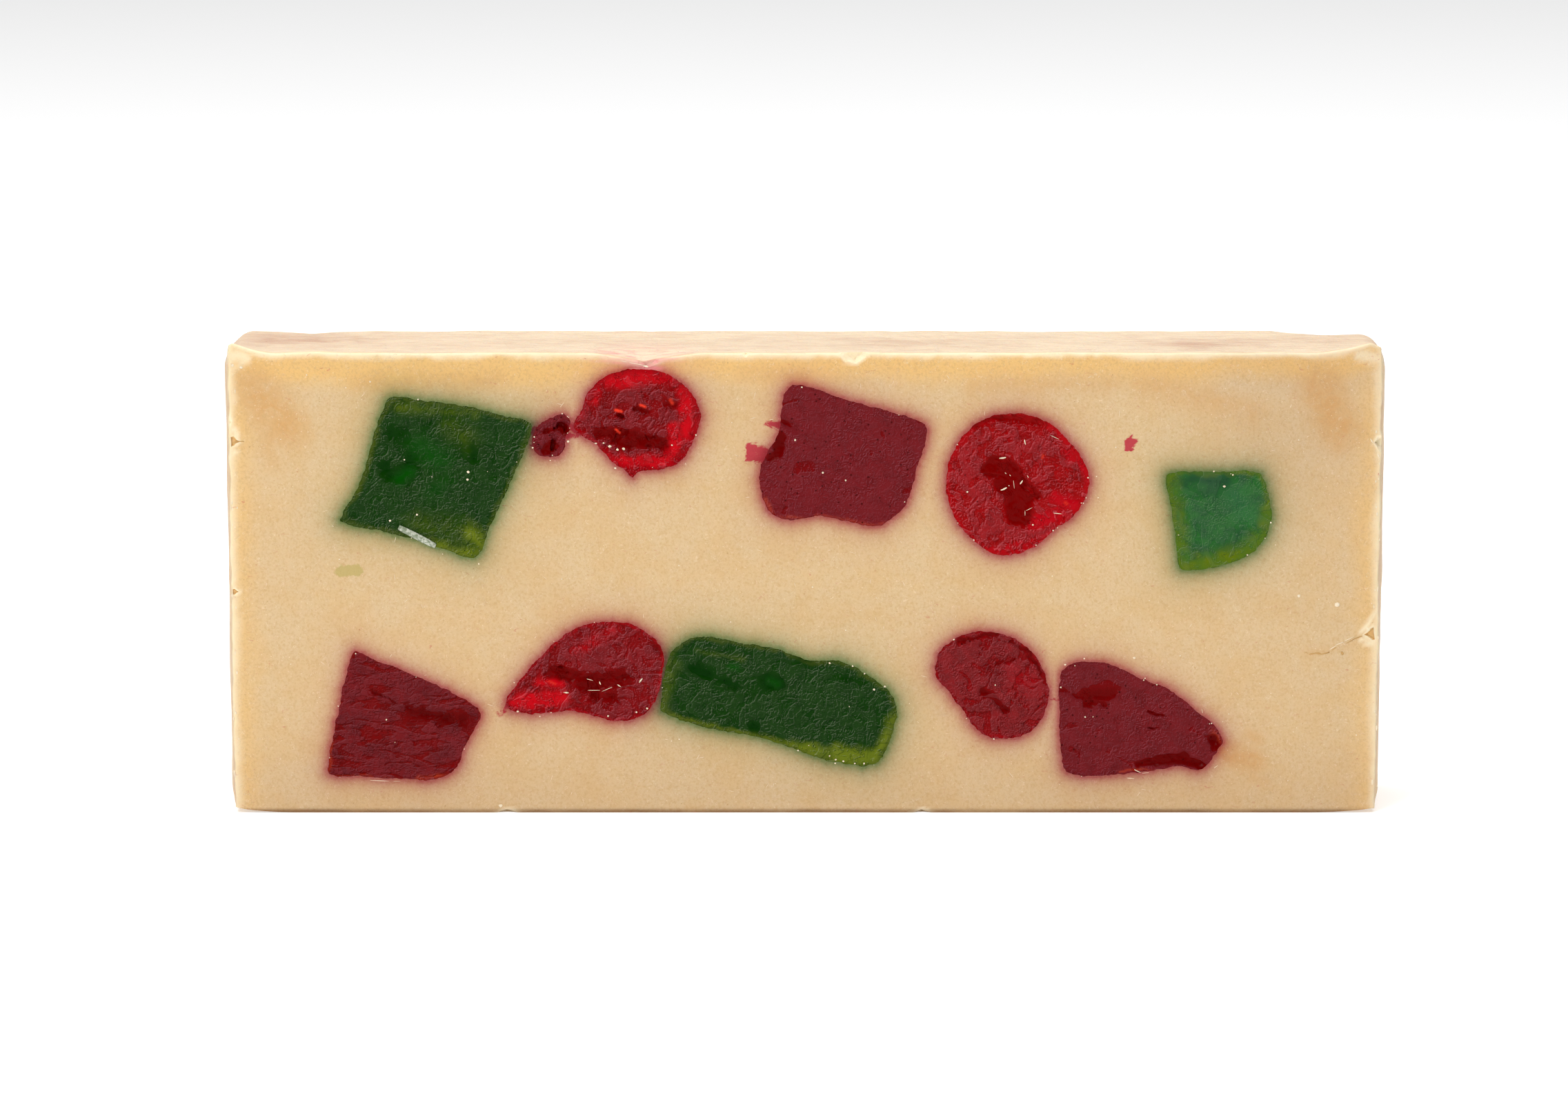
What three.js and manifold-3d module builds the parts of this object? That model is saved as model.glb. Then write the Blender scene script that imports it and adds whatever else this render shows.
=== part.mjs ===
// A cut bar of soft almond nougat with candied fruit, standing on its long narrow side.
// Millimetres, +Z up, the front cut face looking along -Y, the origin under the middle of the bar.
// The slice was cut from a long loaf: the front and back are cut faces, and the top, base and two
// ends are the loaf's own skin. Each piece of fruit runs through from the front cut to the back cut.
import * as THREE from "three";
import { mergeVertices } from "three/addons/utils/BufferGeometryUtils.js";
import Module from "manifold-3d";

const wasm = await Module();
wasm.setup();

// The cut face of the loaf and the thickness of the slice.
const LENGTH = 149.8;
const HEIGHT = 60.6;
const DEPTH = 22;
const FRONT = -DEPTH / 2;
const BACK = DEPTH / 2;

// The ends lean in a little towards the base, and swell between the two cuts.
const END_LEAN = 0.25;
const END_SWELL = 0.8;
const SWELL_HOLD = 3;
// The long corners of the loaf are rounded. The knife drags them nearly square at the front cut.
const CORNER_RADIUS = 2.6;
const CORNER_STEPS = 4;
const KNIFE_SQUARING = 0.75;
// How far behind a cut the marks of the knife fade out, and the radius that its rims are worn to.
const KNIFE_FADE = 4;
const RIM_WEAR = 0.35;
// The spans of the block's grid along the length, the height and the depth.
const LENGTH_SPANS = 38;
const HEIGHT_SPANS = 10;
const DEPTH_SPANS = 8;

// Along a rim, each mark is centred at x, moves the rim by rise and fades to nothing at its reach. At
// the top front the knife dragged the paste up into an ear at each end, and the paste sags over the
// cherry. The base lifts off the table at both ends of the front, and the top skin dips at the back.
const TOP_FRONT_MARKS = [
  { x: -74.4, rise: 1.65, reach: 6 },
  { x: 73.4, rise: 1.65, reach: 8 },
  { x: -21, rise: -1.5, reach: 8 },
];
const TOP_BACK_MARKS = [
  { x: -65, rise: -0.45, reach: 8 },
  { x: 70, rise: -0.75, reach: 9 },
];
const BASE_FRONT_MARKS = [
  { x: -74.4, rise: 1.1, reach: 11 },
  { x: 73.4, rise: 1, reach: 10 },
];
const MARK_FALL = 1.7;
// How tightly the marks, and the wear, keep to the outermost part of the section.
const MARK_HOLD = 8;
const WEAR_HOLD = 24;

// Bites out of the rims: where each is centred, and its half sizes along X, Y and Z.
const CHIPS = [
  { at: [LENGTH / 2 - 0.4, FRONT, 23.7], half: [2.1, 1.8, 0.9] },
  { at: [LENGTH / 2 - 0.2, FRONT, 49.1], half: [1.2, 1.3, 1] },
  { at: [-LENGTH / 2 - 0.2, FRONT, 48.6], half: [1.3, 1.4, 0.9] },
  { at: [-LENGTH / 2 + 0.2, FRONT, 29.2], half: [1.7, 1.4, 0.7] },
  { at: [6.2, FRONT, HEIGHT - 0.1], half: [1.7, 1, 1.8] },
  { at: [-39, FRONT, 0], half: [1.6, 1, 0.55] },
  { at: [15.2, FRONT, 0], half: [1.6, 1, 0.5] },
];
const CHIP_SIDES = [7, 5];

// Fruit is modelled apart from the paste, and lies just under both cuts.
const CLEARANCE = 0.3;
const FRUIT_RECESS = 0.12;
const POCKET_OVERSHOOT = 2;
const FRUIT_SPANS = 4;
const POINTS_PER_STRETCH = 2;
const HOLLOW_SIDES = [12, 8];
// Vertices closer than this are one.
const SAME_POINT = 1e-4;

// Colours of the paste and of the fruit, with the gloss of a dry cut and of wet candied flesh.
const PASTE = { color: 0xe3c193, roughness: 0.62, metalness: 0 };
const CHERRY = { color: 0x9c1119, roughness: 0.18, metalness: 0 };
const MAROON = { color: 0x6c1218, roughness: 0.3, metalness: 0 };
const GREEN = { color: 0x24481a, roughness: 0.22, metalness: 0 };

// Each piece: its outline on the front cut as points [x, z] that a smooth curve goes through, and how
// that outline has changed at the back cut. belly swells the piece half way through. A hollow is the
// dimple that the stone left, in the front cut: its centre, its half sizes and its depth.
const FRUIT = [
  {
    name: "green_fruit_rhombus",
    finish: GREEN,
    outline: [
      [-53.6, 54.9], [-50, 54.4], [-44, 53.6], [-38.4, 52.2], [-35.5, 51.3], [-35.7, 49.8], [-38, 44.2],
      [-41, 37.8], [-42.1, 34.8], [-43.3, 33.7], [-46, 34.5], [-51, 36.2], [-56, 37.4], [-60.4, 38.5],
      [-60.2, 39.4], [-57.6, 44.2], [-56.6, 48], [-54.7, 53.6],
    ],
    back: { scale: 0.93, turn: -5, shift: [-1.6, -0.6] },
    belly: 0.02,
  },
  {
    name: "red_fruit_scrap",
    finish: MAROON,
    outline: [
      [-35, 50.9], [-33.4, 52], [-31.6, 52.6], [-30.6, 51.6], [-31, 49.6], [-31.6, 47.6], [-33, 46.9],
      [-34.8, 47.4], [-35.4, 48.6],
    ],
    back: { scale: 0.8, turn: 12, shift: [-1, -0.3] },
    belly: 0,
  },
  {
    name: "cherry_upper_left",
    finish: CHERRY,
    outline: [
      [-22, 58.5], [-18.8, 58.2], [-16, 56.7], [-14.2, 54.4], [-13.6, 52.2], [-14.6, 48.8], [-16.6, 46.1],
      [-19.4, 45.3], [-21.6, 45.1], [-22.5, 44.2], [-23.4, 45.1], [-25.4, 46.6], [-27, 48.5], [-29.4, 50],
      [-30, 51.2], [-29.2, 52.8], [-28.2, 55.4], [-25.4, 57.8],
    ],
    back: { scale: 0.72, turn: 20, shift: [1.2, -1.4] },
    belly: 0.05,
    hollow: { at: [-21.6, 49.6], half: [4.6, 2], depth: 0.7 },
  },
  {
    name: "red_cube_upper",
    finish: MAROON,
    outline: [
      [-1.7, 56.4], [4, 54.9], [10, 53.2], [15.2, 51.4], [15.8, 50.4], [14.6, 45.6], [12.8, 40.4],
      [9.4, 37.9], [5.6, 38.5], [2, 39.2], [-2.4, 38.7], [-4.9, 40], [-5.9, 45.2], [-4.9, 47.6],
      [-3.3, 50.6], [-3.1, 53.4],
    ],
    back: { scale: 0.86, turn: 9, shift: [1.4, 1] },
    belly: 0.03,
  },
  {
    name: "cherry_upper_right",
    finish: CHERRY,
    outline: [
      [27.4, 52.7], [31.6, 51.5], [34.9, 48.3], [36.9, 44.8], [36.6, 41.9], [34.8, 39.1], [32.6, 37.6],
      [29.6, 35], [25.8, 34], [22.2, 35.7], [19.4, 39.2], [18.3, 43.6], [19.6, 48.4], [22.6, 51.6],
    ],
    back: { scale: 0.8, turn: 15, shift: [-1.2, 0.6] },
    belly: 0.06,
    hollow: { at: [26.4, 43.2], half: [4, 3.8], depth: 1 },
  },
  {
    name: "green_fruit_small",
    finish: GREEN,
    outline: [
      [47.1, 44.6], [51, 45], [56, 45.1], [59.2, 44.8], [60.1, 42.8], [60.7, 39.2], [59.9, 36.6],
      [58.4, 34.5], [54.6, 32.8], [50.6, 32.1], [48.9, 32.3], [48.2, 36], [47.5, 41],
    ],
    back: { scale: 1.12, turn: -8, shift: [0.8, -0.4] },
    belly: 0.02,
  },
  {
    name: "red_cube_lower",
    finish: MAROON,
    outline: [
      [-58.7, 21.3], [-56.4, 20.4], [-50.6, 18], [-44.4, 15], [-42.4, 13.3], [-42.6, 12], [-44.4, 8.8],
      [-45.4, 6.1], [-47.6, 4.6], [-52, 4.4], [-58, 4.8], [-62, 5.1], [-62.2, 7], [-61, 13], [-59.5, 19.6],
    ],
    back: { scale: 0.84, turn: -10, shift: [0.9, 0.8] },
    belly: 0.03,
  },
  {
    name: "cherry_lower_left",
    finish: CHERRY,
    outline: [
      [-26, 25.3], [-22.8, 25], [-20, 23.4], [-18.5, 21.3], [-18.5, 18.8], [-19.3, 15.4], [-20.9, 13.1],
      [-24, 12.1], [-27.2, 12.7], [-30.6, 13.5], [-34.4, 13.1], [-38.2, 13.5], [-39, 14.7], [-36.9, 17.9],
      [-34.2, 21], [-29.9, 24.4],
    ],
    back: { scale: 0.7, turn: -14, shift: [-0.9, 0.9] },
    belly: 0.04,
    hollow: { at: [-27, 17.1], half: [4.4, 1.7], depth: 0.8 },
  },
  {
    name: "green_fruit_bar",
    finish: GREEN,
    outline: [
      [-17.9, 20.4], [-15.6, 22.8], [-13, 23.3], [-8, 22.4], [-3.4, 21.6], [1, 20.1], [4.6, 20],
      [8.4, 18.1], [11.3, 15.6], [12, 13.2], [11, 9.4], [9.4, 6.6], [6.6, 6.2], [1, 7.5], [-5, 9.7],
      [-11, 10.9], [-18.6, 13.3], [-18.8, 14.6],
    ],
    back: { scale: 0.92, turn: 4, shift: [1.4, 0.5] },
    belly: 0.02,
  },
  {
    name: "cherry_lower_right",
    finish: CHERRY,
    outline: [
      [23.4, 24], [27.6, 22.9], [30.4, 20.1], [31.8, 16.2], [31.4, 13.6], [29.4, 10.7], [26.2, 9.8],
      [23.4, 10.3], [21, 13], [18.8, 16], [17, 18.2], [17.6, 21.2], [19.8, 23.2],
    ],
    back: { scale: 0.9, turn: 25, shift: [-0.6, -0.3] },
    belly: 0.05,
    hollow: { at: [25, 14.6], half: [2.6, 1.4], depth: 0.4 },
  },
  {
    name: "red_fruit_wedge",
    finish: MAROON,
    outline: [
      [33.4, 18.4], [35.2, 19.9], [39.6, 19.7], [43, 18.1], [47.6, 16.2], [51, 13.5], [53.5, 11.5],
      [54.5, 9.6], [53.4, 7.4], [51.6, 5.6], [49.4, 6.1], [44.6, 5.5], [39, 5], [34.3, 5.3], [33.5, 8],
      [33.2, 13.6],
    ],
    back: { scale: 0.84, turn: 6, shift: [1.2, 0.7] },
    belly: 0.03,
  },
];

// A closed geometry as a solid that can be cut and joined.
function solid(geometry) {
  const bare = geometry.clone();
  bare.deleteAttribute("normal");
  bare.deleteAttribute("uv");
  const merged = mergeVertices(bare, SAME_POINT);
  return new wasm.Manifold(
    new wasm.Mesh({
      numProp: 3,
      vertProperties: merged.attributes.position.array,
      triVerts: new Uint32Array(merged.index.array),
    }),
  );
}

// A solid back as a named mesh with its finish.
function mesh(name, made, finish) {
  const { vertProperties, triVerts } = made.getMesh();
  const geometry = new THREE.BufferGeometry();
  geometry.setAttribute("position", new THREE.BufferAttribute(vertProperties, 3));
  geometry.setIndex(new THREE.BufferAttribute(triVerts, 1));
  geometry.computeVertexNormals();
  const piece = new THREE.Mesh(geometry, new THREE.MeshStandardMaterial(finish));
  piece.name = name;
  return piece;
}

// Extrudes an outline [x, z] along Y from one depth to another, then moves each vertex by move(point).
function extruded(outline, from, to, steps, move) {
  const shape = new THREE.Shape(outline);
  const geometry = new THREE.ExtrudeGeometry(shape, { depth: to - from, steps, bevelEnabled: false });
  // The extrusion runs along +Z: this turns it to run along -Y, with the outline's second number up.
  geometry.rotateX(Math.PI / 2);
  geometry.translate(0, to, 0);
  const places = geometry.attributes.position;
  const point = new THREE.Vector3();
  for (let i = 0; i < places.count; i++) {
    point.fromBufferAttribute(places, i);
    move(point);
    places.setXYZ(i, point.x, point.y, point.z);
  }
  return geometry;
}

// How much a set of marks moves a rim at x.
function marksAt(marks, x) {
  const share = ({ x: centre, reach }) => Math.max(0, 1 - Math.abs(x - centre) / reach) ** MARK_FALL;
  return marks.reduce((sum, mark) => sum + mark.rise * share(mark), 0);
}

// The loaf's section: a rectangle with its long sides in spans and its corners in arcs.
function sectionOutline() {
  const r = CORNER_RADIUS;
  const [wide, high] = [LENGTH - 2 * r, HEIGHT - 2 * r];
  const corners = [
    { x: wide / 2, z: r, from: -90, spans: HEIGHT_SPANS, side: [0, high] },
    { x: wide / 2, z: r + high, from: 0, spans: LENGTH_SPANS, side: [-wide, 0] },
    { x: -wide / 2, z: r + high, from: 90, spans: HEIGHT_SPANS, side: [0, -high] },
    { x: -wide / 2, z: r, from: 180, spans: LENGTH_SPANS, side: [wide, 0] },
  ];
  const points = [];
  for (const corner of corners) {
    for (let k = 0; k <= CORNER_STEPS; k++) {
      const angle = THREE.MathUtils.degToRad(corner.from + (90 * k) / CORNER_STEPS);
      points.push(new THREE.Vector2(corner.x + r * Math.cos(angle), corner.z + r * Math.sin(angle)));
    }
    const last = points.at(-1);
    for (let k = 1; k < corner.spans; k++) {
      const share = k / corner.spans;
      points.push(new THREE.Vector2(last.x + corner.side[0] * share, last.y + corner.side[1] * share));
    }
  }
  return points;
}

// Drags a point of a rounded corner outwards: 0 keeps the arc, and 1 makes it square.
function squareCorner(point, amount) {
  const middle = HEIGHT / 2;
  const out = Math.abs(point.x) - (LENGTH / 2 - CORNER_RADIUS);
  const up = Math.abs(point.z - middle) - (middle - CORNER_RADIUS);
  if (out <= 0 || up <= 0) return;
  const push = (part) => CORNER_RADIUS * (part / CORNER_RADIUS) ** (1 - amount) - part;
  point.x += Math.sign(point.x) * push(out);
  point.z += Math.sign(point.z - middle) * push(up);
}

// Shapes one vertex of the block, from its place in the plain extruded section.
function shapeBlock(point) {
  // The depth spans are bunched at the two cuts, where the rims are.
  const through = (point.y - FRONT) / DEPTH;
  point.y = -(DEPTH / 2) * Math.cos(Math.PI * through);
  const toFront = Math.max(0, 1 - (point.y - FRONT) / KNIFE_FADE);
  const toBack = Math.max(0, 1 - (BACK - point.y) / KNIFE_FADE);
  squareCorner(point, KNIFE_SQUARING * toFront);

  const side = point.x / (LENGTH / 2);
  const up = point.z / HEIGHT;
  const toCut = Math.min(point.y - FRONT, BACK - point.y);
  const worn = Math.max(0, RIM_WEAR - toCut);
  const wear = RIM_WEAR - Math.sqrt(RIM_WEAR ** 2 - worn ** 2);
  const fromMiddle = 1 - (2 * point.y / DEPTH) ** 2;
  point.x += side ** SWELL_HOLD * END_SWELL * fromMiddle + side * END_LEAN * (2 * up - 1);
  point.x -= Math.sign(side) * wear * side ** WEAR_HOLD;
  if (up > 0.5) {
    const front = marksAt(TOP_FRONT_MARKS, point.x) * toFront;
    const back = marksAt(TOP_BACK_MARKS, point.x) * toBack;
    point.z += (front + back) * up ** MARK_HOLD - wear * up ** WEAR_HOLD;
  } else {
    point.z += marksAt(BASE_FRONT_MARKS, point.x) * toFront * (1 - up) ** MARK_HOLD;
  }
}

// A rim chip: a coarse lump with few sides, to be cut away.
function chip({ at, half }) {
  const lump = new THREE.SphereGeometry(1, ...CHIP_SIDES);
  lump.scale(...half);
  lump.translate(...at);
  return solid(lump);
}

// The closed smooth outline of a piece, grown outwards by a distance.
function fruitOutline(points, grow) {
  const curve = new THREE.CatmullRomCurve3(
    points.map(([x, z]) => new THREE.Vector3(x, 0, z)),
    true,
    "centripetal",
  );
  const around = curve.getPoints(points.length * POINTS_PER_STRETCH).slice(0, -1);
  const count = around.length;
  const turns = THREE.ShapeUtils.area(around.map((p) => new THREE.Vector2(p.x, p.z))) > 0 ? 1 : -1;
  return around.map((p, i) => {
    const along = around[(i + 1) % count].clone().sub(around[(i + count - 1) % count]).normalize();
    return new THREE.Vector2(p.x + turns * grow * along.z, p.z - turns * grow * along.x);
  });
}

// A piece of fruit from one depth to another, its outline changing from the front cut to the back.
function fruit(piece, from, to, grow) {
  const outline = fruitOutline(piece.outline, grow);
  const middle = outline.reduce((sum, p) => sum.add(p), new THREE.Vector2()).divideScalar(outline.length);
  const turn = THREE.MathUtils.degToRad(piece.back.turn);
  return solid(
    extruded(outline, from, to, FRUIT_SPANS, (point) => {
      const through = (point.y - FRONT) / DEPTH;
      const size = 1 + piece.belly * 4 * through * (1 - through) + (piece.back.scale - 1) * through;
      const turned = new THREE.Vector2(point.x, point.z)
        .sub(middle)
        .rotateAround(new THREE.Vector2(), turn * through)
        .multiplyScalar(size);
      point.x = middle.x + turned.x + piece.back.shift[0] * through;
      point.z = middle.y + turned.y + piece.back.shift[1] * through;
    }),
  );
}

// The dimple that a cherry's stone left in the front cut.
function stoneHollow({ at, half, depth }) {
  const lump = new THREE.SphereGeometry(1, ...HOLLOW_SIDES);
  lump.scale(half[0], depth, half[1]);
  lump.translate(at[0], FRONT + FRUIT_RECESS, at[1]);
  return solid(lump);
}

const bar = new THREE.Group();

let paste = solid(extruded(sectionOutline(), FRONT, BACK, DEPTH_SPANS, shapeBlock));
for (const bite of CHIPS) paste = paste.subtract(chip(bite));
for (const piece of FRUIT) {
  paste = paste.subtract(fruit(piece, FRONT - POCKET_OVERSHOOT, BACK + POCKET_OVERSHOOT, CLEARANCE));
  let flesh = fruit(piece, FRONT + FRUIT_RECESS, BACK - FRUIT_RECESS, 0);
  if (piece.hollow) flesh = flesh.subtract(stoneHollow(piece.hollow));
  bar.add(mesh(piece.name, flesh, piece.finish));
}
bar.add(mesh("nougat_body", paste, PASTE));

export default bar;
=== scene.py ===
"""A cut bar of soft almond nougat with candied fruit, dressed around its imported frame.

Sizes are in millimetres in the classes, and become metres where a mesh or a lamp is made.
The bar stands on its long narrow side with the cut face that the photo shows towards -Y.
"""
from __future__ import annotations

import logging
import math
from dataclasses import dataclass, field
from enum import Enum
from typing import Any, Iterable, Sequence, Union

import bpy
import numpy as np
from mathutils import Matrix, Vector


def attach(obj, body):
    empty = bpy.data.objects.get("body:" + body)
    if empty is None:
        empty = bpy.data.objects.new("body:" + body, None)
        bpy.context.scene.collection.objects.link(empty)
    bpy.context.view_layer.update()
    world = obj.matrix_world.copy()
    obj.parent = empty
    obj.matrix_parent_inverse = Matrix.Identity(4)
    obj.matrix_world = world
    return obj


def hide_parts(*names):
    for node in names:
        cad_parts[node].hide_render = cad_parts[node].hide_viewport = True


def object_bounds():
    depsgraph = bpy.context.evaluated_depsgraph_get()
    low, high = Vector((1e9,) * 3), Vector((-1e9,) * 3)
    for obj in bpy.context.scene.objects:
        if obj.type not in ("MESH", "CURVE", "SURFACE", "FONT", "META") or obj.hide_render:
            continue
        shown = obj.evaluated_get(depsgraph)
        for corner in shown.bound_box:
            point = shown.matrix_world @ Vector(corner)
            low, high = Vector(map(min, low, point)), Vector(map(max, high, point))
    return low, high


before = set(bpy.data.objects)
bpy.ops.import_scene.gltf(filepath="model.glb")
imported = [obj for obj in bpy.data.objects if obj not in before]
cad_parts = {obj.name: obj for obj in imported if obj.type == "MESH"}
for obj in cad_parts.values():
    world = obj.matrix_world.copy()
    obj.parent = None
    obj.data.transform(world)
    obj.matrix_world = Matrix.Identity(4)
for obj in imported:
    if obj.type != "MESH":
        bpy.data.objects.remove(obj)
CAD_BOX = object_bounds()
LOG = logging.getLogger("nougat_bar")

MM = 0.001
PER_M = 1000.0
ROOT = "root"

# The front and the back cut of the slice along Y, as the frame has them.
FRONT = CAD_BOX[0].y * PER_M
BACK = CAD_BOX[1].y * PER_M

Triple = tuple[float, float, float]
Colour = Triple
Stroke = tuple[float, float, float, float, float]

# Noise that is drawn out along no axis, and noise that is taken where it is.
EVEN: Triple = (1.0, 1.0, 1.0)
STILL: Triple = (0.0, 0.0, 0.0)
# The least that anything is divided by.
TINY = 1e-12


def smooth(low: float, high: float, at: np.ndarray) -> np.ndarray:
    """0 below low, 1 above high, and smooth between them."""
    part = np.clip((at - low) / (high - low), 0.0, 1.0)
    return part * part * (3.0 - 2.0 * part)


@dataclass(frozen=True)
class Grain:
    """Smooth noise in space, the same on every run."""

    # Large numbers that make a code of a cell and a seed, and then stir it.
    CELL_CODES = (73856093, 19349663, 83492791)
    SEED_CODE = 2654435761
    STIR = 1274126177
    HIGHEST = 0xFFFF
    SEEDS_APART = 31
    # Where the first octave starts, and how much finer each next one is and how far it is shifted.
    START = 53.7
    FINER = 2.03
    SHIFT = 11.9

    seed: int
    size: float
    octaves: int
    stretch: Triple = EVEN

    def at(self, points: np.ndarray) -> np.ndarray:
        """Noise at points in space.

        Args:
            points: places in millimetres, one row each.

        Returns:
            A number from about -1 to 1 for each point.
        """
        place = points / (self.size * np.array(self.stretch)) + self.START
        total = np.zeros(len(points))
        share, whole = 1.0, 0.0
        for octave in range(self.octaves):
            total += share * self._lattice(place, self.seed * self.SEEDS_APART + octave)
            whole += share
            share *= 0.5
            place = place * self.FINER + self.SHIFT
        return total / whole

    def _lattice(self, place: np.ndarray, seed: int) -> np.ndarray:
        """One octave: random values at whole numbers, blended between them.

        Args:
            place: points in the octave's own cells.
            seed: which random values.

        Returns:
            A number from -1 to 1 for each point.
        """
        cell = np.floor(place).astype(np.int64)
        part = smooth(0.0, 1.0, place - cell)
        total = np.zeros(len(place))
        for corner in np.ndindex(2, 2, 2):
            spot = cell + np.array(corner)
            code = seed * self.SEED_CODE
            for axis, number in enumerate(self.CELL_CODES):
                code = code ^ spot[:, axis] * number
            code = (code ^ (code >> 13)) * self.STIR
            value = ((code ^ (code >> 16)) & self.HIGHEST) / (0.5 * self.HIGHEST) - 1.0
            total += value * np.prod(np.where(corner, part, 1.0 - part), axis=1)
        return total


Layers = tuple[tuple[float, Grain], ...]


def layered(layers: Layers, points: np.ndarray) -> np.ndarray:
    """The sum of some grains at points in space, each with its own height."""
    return sum(height * grain.at(points) for height, grain in layers)


class Value:
    """A number in a material: arithmetic on it adds the Math nodes."""

    def __init__(self, graph: Graph, socket: bpy.types.NodeSocket) -> None:
        """Wraps one output socket of a graph."""
        self.graph = graph
        self.socket = socket

    def _math(self, operation: str, *terms: Number) -> Value:
        """One Math node over the given terms."""
        made = self.graph.node("ShaderNodeMath", {"operation": operation}, dict(enumerate(terms)))
        return Value(self.graph, made.outputs[0])

    def __add__(self, other: Number) -> Value:
        """self + other."""
        return self._math("ADD", self, other)

    def __sub__(self, other: Number) -> Value:
        """self - other."""
        return self._math("SUBTRACT", self, other)

    def __rsub__(self, other: Number) -> Value:
        """other - self."""
        return self._math("SUBTRACT", other, self)

    def __mul__(self, other: Number) -> Value:
        """self * other."""
        return self._math("MULTIPLY", self, other)

    __radd__ = __add__
    __rmul__ = __mul__

    def __abs__(self) -> Value:
        """The size of self without its sign."""
        return self._math("ABSOLUTE", self)

    def steps(self, low: float, high: float) -> Value:
        """0 below low, 1 above high and smooth between them; the other way round if low is the larger."""
        settings = {"interpolation_type": "SMOOTHSTEP", "clamp": True}
        ends = {"Value": self, "From Min": min(low, high), "From Max": max(low, high)}
        ends |= {"To Min": float(low > high), "To Max": float(low <= high)}
        return Value(self.graph, self.graph.node("ShaderNodeMapRange", settings, ends).outputs["Result"])


Number = Union[Value, float]
Link = Union[Value, float, Sequence[float], bpy.types.NodeSocket]


@dataclass(frozen=True)
class Flakes:
    """The size and form of torn flakes: lengths in millimetres, and the share of the surface under them."""

    # The noise above which a flake stands where none are wanted, how far their share lowers that
    # level, and how softly their edge ends.
    RARE_LEVEL = 0.62
    LOWERED = 0.24
    SOFT = 0.02
    # The way to the light that their raised edges catch.
    LIT_FROM = (-0.6, 0.0, 0.8)

    size: float
    share: float
    detail: float
    bend: float
    edge: float
    stretch: Triple = EVEN


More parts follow.
